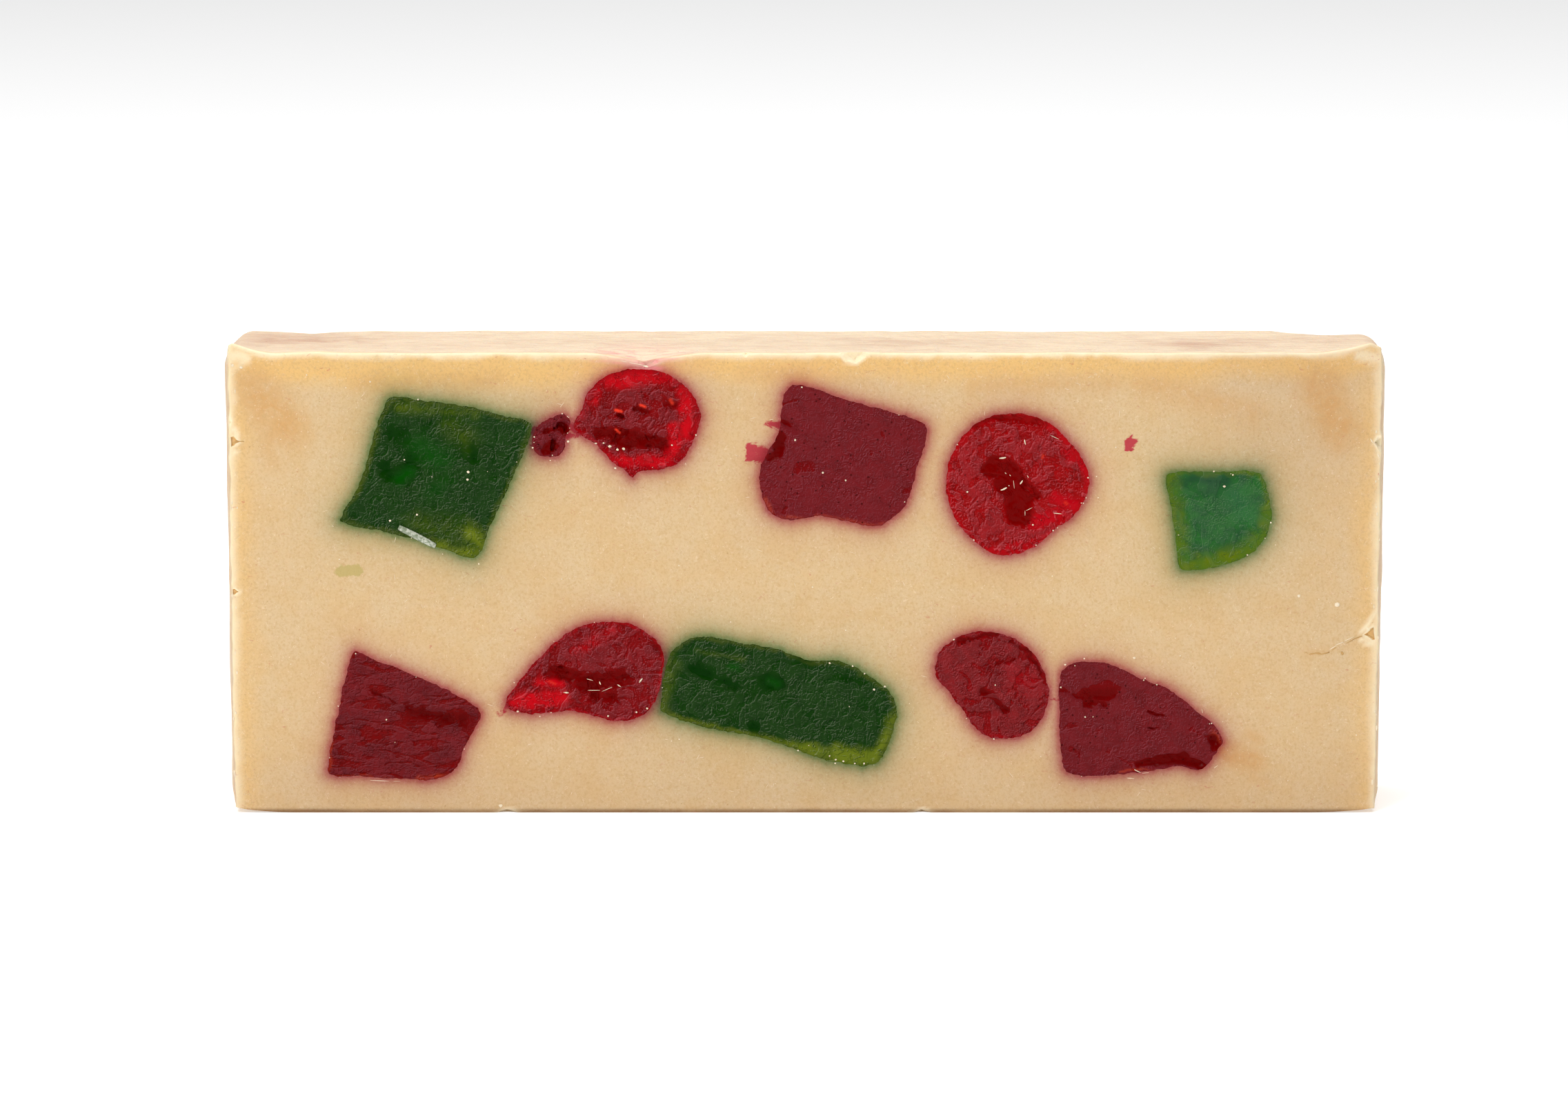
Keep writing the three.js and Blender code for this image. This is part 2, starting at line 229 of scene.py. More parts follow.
class Graph:
    """The node tree of one new material."""

    # The share of a dot's radius that is flat, and how softly the chance of a dot is cut off.
    DOT_MIDDLE = 0.4
    DOT_CUT = 0.03

    def __init__(self, name: str) -> None:
        """Makes a material that holds only its output."""
        self.material = bpy.data.materials.new(name)
        self.material.use_nodes = True
        self.tree = self.material.node_tree
        self.tree.nodes.clear()
        place = self.node("ShaderNodeTexCoord").outputs["Object"]
        sockets = {"Vector": place, "Scale": PER_M}
        self.place = self.node("ShaderNodeVectorMath", {"operation": "SCALE"}, sockets).outputs["Vector"]

    def node(self, kind: str, settings: dict[str, Any] | None = None,
             sockets: dict[Any, Link] | None = None) -> Any:
        """Adds one node.

        Args:
            kind: the node's type.
            settings: what is set on the node itself, before its sockets.
            sockets: input sockets by name or number, each with a value or a link.

        Returns:
            The new node.
        """
        made = self.tree.nodes.new(kind)
        for name, setting in (settings or {}).items():
            setattr(made, name, setting)
        for name, link in (sockets or {}).items():
            source = link.socket if isinstance(link, Value) else link
            if isinstance(source, bpy.types.NodeSocket):
                self.tree.links.new(source, made.inputs[name])
            else:
                made.inputs[name].default_value = source
        return made

    def mix(self, share: Number, low: Link, high: Link, kind: str = "MIX") -> bpy.types.NodeSocket:
        """Blends two colours.

        Args:
            share: how much of the second colour, from 0 to 1.
            low: the first colour, as three numbers or a link.
            high: the second colour.
            kind: the way that they are blended.

        Returns:
            The blended colour.
        """
        settings = {"data_type": "RGBA", "blend_type": kind, "clamp_factor": True}
        colours = [(*x, 1.0) if isinstance(x, tuple) else x for x in (low, high)]
        return self.node("ShaderNodeMix", settings, {0: share, 6: colours[0], 7: colours[1]}).outputs[2]

    def attribute(self, name: str) -> Value:
        """A number that the mesh holds at its vertices."""
        return Value(self, self.node("ShaderNodeAttribute", {"attribute_name": name}).outputs["Fac"])

    def stretched(self, stretch: Triple, shift: Triple) -> bpy.types.NodeSocket:
        """Places in millimetres, moved by a shift, with each axis drawn out by a factor."""
        factors = tuple(1.0 / x for x in stretch)
        moves = tuple(x / y for x, y in zip(shift, stretch))
        sockets = {0: self.place, 1: factors, 2: moves}
        return self.node("ShaderNodeVectorMath", {"operation": "MULTIPLY_ADD"}, sockets).outputs["Vector"]

    def noise(self, size: float, detail: float = 2.0, bend: float = 0.0, stretch: Triple = EVEN,
              shift: Triple = STILL) -> Value:
        """Smooth noise.

        Args:
            size: how large its lumps are, in millimetres.
            detail: how many finer layers it has.
            bend: how much it is twisted.
            stretch: how far each axis is drawn out.
            shift: how far from each place it is taken, in millimetres.

        Returns:
            Numbers that centre on 0.5.
        """
        place = self.stretched(stretch, shift)
        sockets = {"Vector": place, "Scale": 1.0 / size, "Detail": detail, "Distortion": bend}
        return Value(self, self.node("ShaderNodeTexNoise", None, sockets).outputs["Fac"])

    def flakes(self, shape: Flakes, clear: Number) -> tuple[Value, Value, Value]:
        """Torn flakes with raised edges.

        Args:
            shape: their size and form.
            clear: where there are fewer of them.

        Returns:
            1 on the flakes, 1 along their upper left edges, and 1 along their lower right edges.
        """
        level = shape.RARE_LEVEL - shape.LOWERED * shape.share
        here, ahead = (
            (self.noise(shape.size, shape.detail, shape.bend, shape.stretch, shift) - clear).steps(
                level - shape.SOFT, level + shape.SOFT)
            for shift in (STILL, tuple(shape.edge * part for part in shape.LIT_FROM))
        )
        return here, (here - ahead).steps(0.0, 1.0), (ahead - here).steps(0.0, 1.0)

    def threads(self, size: float, width: float, bend: float) -> Value:
        """Thin curling lines, 1 along their middle."""
        return abs(self.noise(size, 1.0, bend) - 0.5).steps(width, 0.0)

    def dots(self, spacing: float, radius: float, share: float) -> Value:
        """Round dots at random.

        Args:
            spacing: about how far apart the places for a dot are, in millimetres.
            radius: the largest radius of a dot, in millimetres.
            share: the share of the places that have one.

        Returns:
            1 in the middle of a dot, and 0 outside them.
        """
        cells = self.node("ShaderNodeTexVoronoi", None, {"Vector": self.place, "Scale": 1.0 / spacing})
        edge, middle = radius / spacing, self.DOT_MIDDLE * radius / spacing
        near = Value(self, cells.outputs["Distance"]).steps(edge, middle)
        chance = self.node("ShaderNodeSeparateColor", None, {0: cells.outputs["Color"]}).outputs[0]
        return near * Value(self, chance).steps(1.0 - share, 1.0 + self.DOT_CUT - share)

    def bump(self, height: Value, depth: float) -> bpy.types.NodeSocket:
        """A normal from a height whose 0 to 1 is that many millimetres."""
        sockets = {"Height": height, "Distance": depth * MM, "Strength": 1.0}
        return self.node("ShaderNodeBump", None, sockets).outputs["Normal"]

    def finish(self, fixed: dict[str, Any], **varied: Link) -> bpy.types.Material:
        """Ends the graph in one Principled shader.

        Args:
            fixed: sockets that are the same all over, by their names.
            varied: colour, roughness, coat and normal where they change over the surface.

        Returns:
            The finished material.
        """
        names = {"colour": "Base Color", "roughness": "Roughness", "coat": "Coat Weight", "normal": "Normal"}
        sockets = {**fixed, **{names[key]: link for key, link in varied.items()}}
        shader = self.node("ShaderNodeBsdfPrincipled", None, sockets)
        self.node("ShaderNodeOutputMaterial", None, {"Surface": shader.outputs["BSDF"]})
        return self.material


@dataclass(frozen=True)
class PasteFinish:
    """Soft almond paste: a matt cut with a fine grain, a painted golden glow of light through it near the
    rims, painted shade and a painted contact shadow, and a pale streaky skin.
    """

    body: Colour = (0.684, 0.500, 0.284)
    warm: Colour = (0.675, 0.470, 0.243)
    # Painted glow of light that shines through the paste near the top and the ends; the floors of the closed
    # notches take it too.
    gold: Colour = (0.780, 0.492, 0.185)
    # Pale lip: torn paste at the flaps and notches, and a painted highlight along the rounded rims.
    lip: Colour = (0.900, 0.770, 0.525)
    brown: Colour = (0.640, 0.370, 0.145)
    # Painted shade, multiplied over the paste towards the base, the right end and the upper right.
    shade: Colour = (0.860, 0.840, 0.890)
    skin: Colour = (0.835, 0.678, 0.485)
    skin_patch: Colour = (0.610, 0.400, 0.280)
    flank: Colour = (0.790, 0.580, 0.350)
    flank_patch: Colour = (0.590, 0.365, 0.235)
    # Painted contact shadow along the base of the bar.
    contact_shadow: Colour = (0.400, 0.310, 0.240)
    red_halo: Colour = (0.540, 0.170, 0.270)
    green_halo: Colour = (0.200, 0.370, 0.210)
    stain: Colour = (0.800, 0.260, 0.270)
    smear: Colour = (0.480, 0.024, 0.048)
    olive: Colour = (0.500, 0.385, 0.130)
    fibre: Colour = (0.900, 0.740, 0.500)
    pit: Colour = (0.560, 0.340, 0.140)

    def material(self) -> bpy.types.Material:
        """The nougat's material.

        Returns:
            A material that reads the marks that the nougat's mesh holds at its vertices.
        """
        g = Graph("almond_paste")
        # The fresh cut: cloudy paste with a browned edge, a painted golden glow of light through the paste
        # near its rims, a fine grain, fibres and pits.
        cloud = g.noise(6.0, 3.0, 0.4)
        grain = g.noise(0.3, 3.0, 0.5)
        lumps = g.noise(0.8, 2.0, 0.8)
        colour = g.mix(cloud.steps(0.35, 0.68), self.body, self.warm)
        colour = g.mix(lumps.steps(0.5, 0.85) * 0.35, colour, self.pit)
        # Painted golden glow of light through the paste near the top and the ends, and on the notch floors.
        colour = g.mix(g.attribute("gold") * (0.7 + 0.6 * cloud), colour, self.gold)
        mottle = g.noise(1.8, 4.0, 0.8).steps(0.25, 0.72)
        colour = g.mix(g.attribute("brown") * (0.55 + 0.6 * mottle), colour, self.brown)
        colour = g.mix(grain.steps(0.42, 0.75) * 0.5, colour, self.pit)
        fibres = g.threads(0.8, 0.045, 2.4) * g.noise(0.7, 1.0).steps(0.5, 0.64)
        colour = g.mix(fibres * 0.38, colour, self.fibre)
        colour = g.mix(g.dots(0.6, 0.09, 0.14) * 0.6, colour, self.fibre)
        pits = g.dots(1.0, 0.09, 0.2)
        colour = g.mix(pits * 0.9, colour, self.pit)
        spot = g.attribute("olive") + 0.7 * g.noise(0.7, 3.0, 0.8)
        colour = g.mix(spot.steps(0.62, 0.8) * 0.8, colour, self.olive)
        # The dried skin of the top and of the ends.
        patches = g.noise(2.8, 5.0, 0.5, (1.8, 1.0, 1.0)).steps(0.34, 0.7)
        streaks = g.noise(0.9, 4.0, 0.6, (4.0, 1.0, 1.0)).steps(0.4, 0.68)
        browned = patches * 0.16 + streaks * 0.22 + g.attribute("bands") * (0.55 + 0.4 * patches)
        side_patches = g.noise(4.0, 5.0, 0.5, (1.0, 1.0, 1.8)).steps(0.36, 0.7)
        side_streaks = g.noise(0.9, 4.0, 0.6, (1.0, 1.0, 4.0)).steps(0.4, 0.68)
        side = g.mix(side_patches * 0.4 + side_streaks * 0.3, self.flank, self.flank_patch)
        skin = g.mix(g.attribute("flank"), g.mix(browned, self.skin, self.skin_patch), side)
        colour = g.mix(g.attribute("skin"), colour, skin)
        # The pale lip: torn paste, and a painted highlight along the rounded top and end rims.
        colour = g.mix(g.attribute("lip") * (0.7 + 0.6 * cloud), colour, self.lip)
        # Painted shade towards the base, the right end and the upper right.
        colour = g.mix(g.attribute("shade"), colour, self.shade, "MULTIPLY")
        # Painted contact shadow along the base of the bar.
        colour = g.mix(g.attribute("contact_shadow"), colour, self.contact_shadow, "MULTIPLY")
        # What the fruit has stained.
        fray = 0.85 + 0.3 * g.noise(0.4, 2.0, 1.0)
        feather = g.noise(0.6, 4.0, 1.6, (1.7, 1.0, 1.0))
        smeared = (g.attribute("smear") + 1.5 * feather).steps(0.95, 1.4)
        colour = g.mix(smeared * 0.95, colour, self.smear)
        colour = g.mix(g.attribute("red_halo") * fray, colour, self.red_halo, "MULTIPLY")
        colour = g.mix(g.attribute("green_halo") * fray, colour, self.green_halo, "MULTIPLY")
        colour = g.mix(g.attribute("stain") * (0.15 + streaks), colour, self.stain)
        fine = grain * 0.6 + lumps * 0.6 + fibres * 0.3 - pits * 0.7
        fine = fine - g.attribute("skin") * (streaks + side_streaks + lumps) * 1.1
        fixed = {
            "Roughness": 0.55, "Specular IOR Level": 0.22, "Subsurface Weight": 0.2,
            "Subsurface Radius": (1.0, 0.55, 0.25), "Subsurface Scale": 0.6 * MM,
        }
        return g.finish(fixed, colour=colour, normal=g.bump(fine, 0.055))


@dataclass(frozen=True)
class FleshFinish:
    """Candied flesh: flat plates with a painted reflection of the floor and crumpled flakes with painted
    highlights and shade at their edges, over clear flesh, which is dark where it is deep.
    """

    # How bright the bottom of a pore is beside deep flesh.
    PIT_SHADE = 0.45

    name: str
    slot: str
    flesh: Colour
    # The painted reflection of the floor on the flat plates and flakes.
    painted_reflection: Colour
    deep: Colour
    rim: Colour
    glow: Colour
    gleam: Colour
    # The painted highlight on the edges of the plates and flakes that face the light.
    painted_edge_highlight: Colour
    plates: Flakes
    crumples: Flakes
    rough: float
    # How strong the painted highlight on the edges that face the light is, and the painted shade on the edges
    # that face away.
    light: float
    dark: float
    pores: Triple
    relief: float
    bare: float = 0.3

    def material(self) -> bpy.types.Material:
        """The material of one kind of flesh.

        Returns:
            A material that reads the wet, glow, gleam and rim marks of the piece's mesh.
        """
        g = Graph(self.name)
        wet, glow, rim = g.attribute("wet"), g.attribute("glow"), g.attribute("rim")
        clear = wet * self.bare + glow * 0.12 + rim * 0.08
        tone = g.noise(2.2, 3.0, 0.6)
        plate, plate_lit, plate_shaded = g.flakes(self.plates, clear)
        crumple, lit, shaded = g.flakes(self.crumples, clear)
        pores = g.dots(*self.pores)
        pit = tuple(self.PIT_SHADE * part for part in self.deep)
        creases = g.threads(1.3, 0.035, 2.0) * g.noise(1.8, 1.0).steps(0.48, 0.6)
        dry = 1.0 - 0.8 * wet
        rough = self.rough + (1.0 - self.rough) * g.noise(2.6, 2.0, 0.6).steps(0.42, 0.58)
        crumple, lit, shaded = crumple * rough, lit * rough, shaded * rough
        colour = g.mix(tone.steps(0.4, 0.66) * 0.45, self.flesh, self.deep)
        colour = g.mix(glow * (0.5 + 0.9 * tone), colour, self.glow)
        colour = g.mix(rim * (0.4 + 1.0 * tone), colour, self.rim)
        colour = g.mix(wet, colour, self.deep)
        # Painted reflection of the floor on the flat plates and flakes.
        colour = g.mix(plate * (0.65 + 0.35 * crumple) + 0.3 * crumple, colour, self.painted_reflection, "ADD")
        # Painted highlight along the edges that face the light.
        colour = g.mix((plate_lit + lit) * self.light * dry, colour, self.painted_edge_highlight, "ADD")
        # Painted shade along the edges that face away from the light.
        colour = g.mix((0.8 * plate_shaded + shaded) * self.dark, colour, self.deep)
        # Painted shade in the thin curling grooves, which the bump also sinks.
        colour = g.mix(creases * 0.5, colour, self.deep)
        colour = g.mix(pores * 0.85, colour, pit)
        colour = g.mix(g.attribute("gleam") * 1.2, colour, self.gleam)
        height = plate * 0.5 + crumple * 0.35 + g.noise(0.4, 2.0) * 0.3 - pores * 0.6 - creases * 0.4
        fixed = {"Specular IOR Level": 0.03, "Coat Roughness": 0.05, "Coat IOR": 1.25}
        return g.finish(fixed, colour=colour, roughness=0.34 - 0.12 * wet, coat=0.08 * dry,
                        normal=g.bump(height, self.relief))


class Flesh(Enum):
    """The kinds of candied flesh in the bar."""

    CHERRY = FleshFinish(
        "cherry_flesh", "cherry", flesh=(0.298, 0.001, 0.002), painted_reflection=(0.000, 0.015, 0.018),
        deep=(0.155, 0.000, 0.000), rim=(0.380, 0.001, 0.004), glow=(0.420, 0.001, 0.006),
        gleam=(0.850, 0.045, 0.020), painted_edge_highlight=(0.110, 0.036, 0.042),
        plates=Flakes(2.8, 0.5, 2.0, 1.8, 0.2), crumples=Flakes(0.8, 0.45, 1.0, 2.6, 0.16),
        rough=0.4, light=0.85, dark=0.5, pores=(1.4, 0.14, 0.2), relief=0.12,
    )
    DARK_CHERRY = FleshFinish(
        "dark_cherry_flesh", "cherry", flesh=(0.206, 0.001, 0.002), painted_reflection=(0.000, 0.014, 0.017),
        deep=(0.125, 0.000, 0.000), rim=(0.300, 0.001, 0.004), glow=(0.510, 0.001, 0.006),
        gleam=(0.850, 0.045, 0.020), painted_edge_highlight=(0.090, 0.030, 0.036),
        plates=Flakes(2.4, 0.6, 2.0, 1.8, 0.18), crumples=Flakes(0.75, 0.45, 1.0, 2.6, 0.15),
        rough=0.4, light=0.85, dark=0.5, pores=(1.2, 0.14, 0.25), relief=0.12,
    )
    DULL_CHERRY = FleshFinish(
        "dull_cherry_flesh", "cherry", flesh=(0.220, 0.001, 0.002), painted_reflection=(0.000, 0.016, 0.018),
        deep=(0.110, 0.000, 0.000), rim=(0.230, 0.001, 0.003), glow=(0.330, 0.002, 0.006),
        gleam=(0.400, 0.020, 0.020), painted_edge_highlight=(0.070, 0.022, 0.026),
        plates=Flakes(2.8, 0.8, 2.0, 1.6, 0.16), crumples=Flakes(0.6, 0.45, 1.0, 2.4, 0.14),
        rough=0.4, light=0.8, dark=0.6, pores=(0.9, 0.15, 0.35), relief=0.14,
    )
    MAROON = FleshFinish(
        "maroon_flesh", "dark_red_fruit", flesh=(0.160, 0.001, 0.002), painted_reflection=(0.000, 0.013, 0.017),
        deep=(0.115, 0.000, 0.000), rim=(0.160, 0.002, 0.002), glow=(0.440, 0.045, 0.014),
        gleam=(0.300, 0.030, 0.030), painted_edge_highlight=(0.060, 0.020, 0.026),
        plates=Flakes(3.4, 1.2, 2.0, 1.2, 0.12), crumples=Flakes(0.7, 0.4, 1.0, 2.4, 0.12),
        rough=0.35, light=0.9, dark=0.6, pores=(0.75, 0.17, 0.5), relief=0.09, bare=0.6,
    )
    CRACKED_MAROON = FleshFinish(
        "cracked_maroon_flesh", "dark_red_fruit", flesh=(0.160, 0.001, 0.001), painted_reflection=(0.000, 0.012, 0.016),
        deep=(0.080, 0.000, 0.000), rim=(0.180, 0.006, 0.005), glow=(0.440, 0.045, 0.014),
        gleam=(0.300, 0.030, 0.030), painted_edge_highlight=(0.046, 0.018, 0.022),
        plates=Flakes(1.5, 0.7, 3.0, 1.2, 0.16, (3.0, 1.0, 1.0)),
        crumples=Flakes(0.55, 0.5, 1.0, 1.8, 0.12, (1.5, 1.0, 1.0)),
        rough=0.5, light=0.6, dark=0.65, pores=(1.2, 0.13, 0.3), relief=0.1,
    )
    GREEN = FleshFinish(
        "green_flesh", "green_fruit", flesh=(0.005, 0.036, 0.001), painted_reflection=(0.008, 0.007, 0.006),
        deep=(0.001, 0.024, 0.000), rim=(0.080, 0.100, 0.010), glow=(0.125, 0.165, 0.008),
        gleam=(0.002, 0.066, 0.001), painted_edge_highlight=(0.064, 0.068, 0.052),
        plates=Flakes(2.8, 0.75, 2.0, 1.8, 0.12), crumples=Flakes(1.0, 0.38, 1.0, 3.0, 0.13),
        rough=0.4, light=0.75, dark=0.6, pores=(1.3, 0.13, 0.2), relief=0.09,
    )
    CLEAR_GREEN = FleshFinish(
        "clear_green_flesh", "green_fruit", flesh=(0.020, 0.115, 0.020), painted_reflection=(0.013, 0.009, 0.013),
        deep=(0.014, 0.058, 0.024), rim=(0.095, 0.145, 0.004), glow=(0.100, 0.150, 0.001),
        gleam=(0.030, 0.160, 0.050), painted_edge_highlight=(0.060, 0.070, 0.050),
        plates=Flakes(3.4, 0.75, 2.0, 1.4, 0.12), crumples=Flakes(0.65, 0.42, 1.0, 2.6, 0.12),
        rough=0.4, light=0.6, dark=0.35, pores=(1.3, 0.11, 0.15), relief=0.07,
    )


@dataclass(frozen=True)
class Mark:
    """A round-ended mark on a cut face: a line from one point to another, with a soft edge."""

    x0: float
    z0: float
    x1: float
    z1: float
    radius: float
    soft: float
    strength: float = 1.0

    def on(self, points: np.ndarray) -> np.ndarray:
        """How strong the mark is.

        Args:
            points: places [x, z] on the cut face, one row each.

        Returns:
            The mark's strength at each place, 0 outside it.
        """
        start, along = np.array([self.x0, self.z0]), np.array([self.x1 - self.x0, self.z1 - self.z0])
        share = np.clip((points - start) @ along / max(float(along @ along), TINY), 0.0, 1.0)
        away = np.linalg.norm(points - start - share[:, None] * along, axis=1)
        return self.strength * (1.0 - smooth(self.radius - self.soft / 2, self.radius + self.soft / 2, away))


def marks_on(marks: Iterable[Mark], points: np.ndarray) -> np.ndarray:
    """The strongest of some marks at each of some points [x, z]."""
    total = np.zeros(len(points))
    for mark in marks:
        total = np.maximum(total, mark.on(points))
    return total


class Loft:
    """A piece of fruit as the frame holds it: its outline at each of its depths."""

    # How far, in millimetres, a coarse and a fine grain move the outline.
    RAGGED = ((0.16, Grain(41, 0.9, 2)), (0.13, Grain(42, 0.35, 2)))
    # How much the raggedness changes along Y, beside along X and Z.
    DRAWN = 0.3
    # Points of a cap, or of one level, are this close along Y, in millimetres.
    CAP_LEVEL = 0.01
    LEVEL = 0.02
    # An outline has more points than this, and the curve through it steps by this share of a side.
    FEWEST = 12
    STEP = 0.1
    # Distances are worked out in slices this thick and this near to the outline, and are far elsewhere.
    SLICE = 3.0
    NEAR = 6.0
    FAR = 99.0

    def __init__(self, node: str, count: int) -> None:
        """Reads a node's outlines.

        Args:
            node: the frame's node.
            count: how many points each outline gets.
        """
        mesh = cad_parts[node].data
        corners = np.array([v.co for v in mesh.vertices], float) * PER_M
        places, index = np.unique(np.round(corners, 3), axis=0, return_inverse=True)
        index = index.reshape(-1)
        edges: dict[tuple[int, int], int] = {}
        caps = (places[:, 1].min(), places[:, 1].max())
        for face in mesh.polygons:
            ring = [int(index[v]) for v in face.vertices]
            flat = any(all(abs(places[v][1] - cap) < self.CAP_LEVEL for v in ring) for cap in caps)
            for k, first in enumerate(ring):
                edge = tuple(sorted((first, ring[k - 1])))
                edges[edge] = edges.get(edge, 0) + (0 if flat else 1)
        self.depths: list[float] = []
        self.rings: list[np.ndarray] = []
        for depth in sorted(set(np.round(places[:, 1], 2))):
            close = np.abs(places[:, 1] - depth) < self.LEVEL
            loop = self._longest([edge for edge, walls in edges.items() if walls and all(close[list(edge)])])
            if len(loop) > self.FEWEST:
                ring = self._resampled(places[loop][:, [0, 2]], count)
                if self.rings:
                    ring = self._aligned(ring, self.rings[-1])
                self.depths.append(float(depth))
                self.rings.append(ring)

    @staticmethod
    def _longest(edges: list[tuple[int, int]]) -> list[int]:
        """Chains edges into closed loops and returns the one with the most points."""
        near: dict[int, list[int]] = {}
        for a, b in edges:
            near.setdefault(a, []).append(b)
            near.setdefault(b, []).append(a)
        best: list[int] = []
        left = {v for v, others in near.items() if len(others) == 2}
        while left:
            start = min(left)
            loop, last, here = [start], start, near[start][0]
            left.discard(start)
            while here != start and here in left:
                loop.append(here)
                left.discard(here)
                ahead = [v for v in near[here] if v != last]
                last, here = here, ahead[0]
            if here == start and len(loop) > len(best):
                best = loop
        return best

    @staticmethod
    def _resampled(ring: np.ndarray, count: int) -> np.ndarray:
        """A smooth closed curve through a ring, as evenly spaced points, anticlockwise.

        Args:
            ring: the ring's points.
            count: how many points the result has.

        Returns:
            The new points, the first of them at the right of the ring's middle.
        """
        before, after = np.roll(ring, 1, axis=0), np.roll(ring, -1, axis=0)
        if np.sum(ring[:, 0] * after[:, 1] - after[:, 0] * ring[:, 1]) < 0:
            ring = ring[::-1]
            before, after = np.roll(ring, 1, axis=0), np.roll(ring, -1, axis=0)
        beyond = np.roll(ring, -2, axis=0)
        fine = []
        bend = 2 * before - 5 * ring + 4 * after - beyond
        turn = 3 * ring - before - 3 * after + beyond
        for t in np.arange(0.0, 1.0, Loft.STEP):
            fine.append(0.5 * (2 * ring + (after - before) * t + bend * t**2 + turn * t**3))
        curve = np.stack(fine, axis=1).reshape(-1, 2)
        middle = curve.mean(axis=0)
        angles = np.arctan2(*(curve - middle).T[::-1])
        curve = np.roll(curve, -int(np.argmin(np.abs(angles))), axis=0)
        closed = np.vstack([curve, curve[:1]])
        along = np.concatenate([[0.0], np.cumsum(np.linalg.norm(np.diff(closed, axis=0), axis=1))])
        want = np.linspace(0.0, along[-1], count, endpoint=False)
        return np.stack([np.interp(want, along, closed[:, k]) for k in (0, 1)], axis=1)

    @staticmethod
    def _aligned(ring: np.ndarray, other: np.ndarray) -> np.ndarray:
        """The ring turned round its points so that it twists least against another."""
        gaps = [np.sum((np.roll(ring, -k, axis=0) - other) ** 2) for k in range(len(ring))]
        return np.roll(ring, -int(np.argmin(gaps)), axis=0)

    def at(self, depth: float) -> np.ndarray:
        """The outline at a depth, a little ragged, and carried on straight beyond the first and the last.

        Args:
            depth: the place along Y, in millimetres.

        Returns:
            The outline's points [x, z].
        """
        k = int(np.clip(np.searchsorted(self.depths, depth) - 1, 0, len(self.depths) - 2))
        share = (depth - self.depths[k]) / (self.depths[k + 1] - self.depths[k])
        ring = self.rings[k] * (1.0 - share) + self.rings[k + 1] * share
        space = at_depth(ring, self.DRAWN * depth)
        return ring + layered(self.RAGGED, space)[:, None] * outwards(ring)

    def outside(self, points: np.ndarray) -> np.ndarray:
        """How far points are outside the piece, at their own depth.

        Args:
            points: places [x, y, z] in millimetres.

        Returns:
            The distance to the outline, negative inside it, and large far from the piece.
        """
        result = np.full(len(points), self.FAR)
        middle = self.at(0.0).mean(axis=0)
        reach = np.abs(self.at(0.0) - middle).max(axis=0) + self.NEAR
        close = np.all(np.abs(points[:, [0, 2]] - middle) < reach, axis=1)
        for low in np.arange(FRONT - 1.0, BACK + 1.0, self.SLICE):
            chosen = np.flatnonzero(close & (points[:, 1] >= low) & (points[:, 1] < low + self.SLICE))
            if len(chosen):
                depth = float(np.clip(points[chosen, 1].mean(), FRONT, BACK))
                result[chosen] = signed_distance(points[chosen][:, [0, 2]], self.at(depth))
        return result


def at_depth(ring: np.ndarray, depth: float) -> np.ndarray:
    """An outline's points [x, z] as points in space at one depth."""
    return np.stack([ring[:, 0], np.full(len(ring), depth), ring[:, 1]], axis=1)


def outwards(ring: np.ndarray) -> np.ndarray:
    """The way out of an anticlockwise outline at each of its points, 1 long."""
    along = np.roll(ring, -1, axis=0) - np.roll(ring, 1, axis=0)
    along /= np.linalg.norm(along, axis=1)[:, None]
    return np.stack([along[:, 1], -along[:, 0]], axis=1)


def signed_distance(points: np.ndarray, ring: np.ndarray) -> np.ndarray:
    """Distance from points to a closed ring, negative inside it."""
    after = np.roll(ring, -1, axis=0)
    best = np.full(len(points), np.inf)
    inside = np.zeros(len(points), bool)
    for a, b in zip(ring, after):
        along = b - a
        share = np.clip((points - a) @ along / max(float(along @ along), TINY), 0.0, 1.0)
        best = np.minimum(best, np.sum((points - a - share[:, None] * along) ** 2, axis=1))
        crosses = (a[1] > points[:, 1]) != (b[1] > points[:, 1])
        if crosses.any() and b[1] != a[1]:
            at = a[0] + (points[:, 1] - a[1]) / (b[1] - a[1]) * along[0]
            inside ^= crosses & (points[:, 0] < at)
    return np.where(inside, -1.0, 1.0) * np.sqrt(best)


def new_piece(name: str, points: np.ndarray, faces: Iterable[Sequence[int]], material: bpy.types.Material,
              marks: dict[str, np.ndarray] | None = None) -> bpy.types.Object:
    """Makes a mesh object of the bar.

    Args:
        name: the piece's name.
        points: its vertices in millimetres.
        faces: its faces, as vertex numbers.
        material: its finish.
        marks: numbers at its vertices that the finish reads.

    Returns:
        The new object, which rides on the bar.
    """
    mesh = bpy.data.meshes.new(name)
    mesh.from_pydata([tuple(p) for p in points * MM], [], [tuple(int(v) for v in f) for f in faces])
    mesh.validate()
    made = bpy.data.objects.new(name, mesh)
    bpy.context.scene.collection.objects.link(made)
    mesh.materials.append(material)
    mesh.shade_smooth()
    write_marks(made, marks or {})
    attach(made, ROOT)
    LOG.info("%s: %d vertices", name, len(mesh.vertices))
    return made


def write_marks(piece: bpy.types.Object, marks: dict[str, np.ndarray]) -> None:
    """Stores numbers at the vertices of a piece, for its finish."""
    for name, values in marks.items():
        layer = piece.data.attributes.get(name) or piece.data.attributes.new(name, "FLOAT", "POINT")
        layer.data.foreach_set("value", np.clip(values, 0.0, 1.0).astype(np.float32))


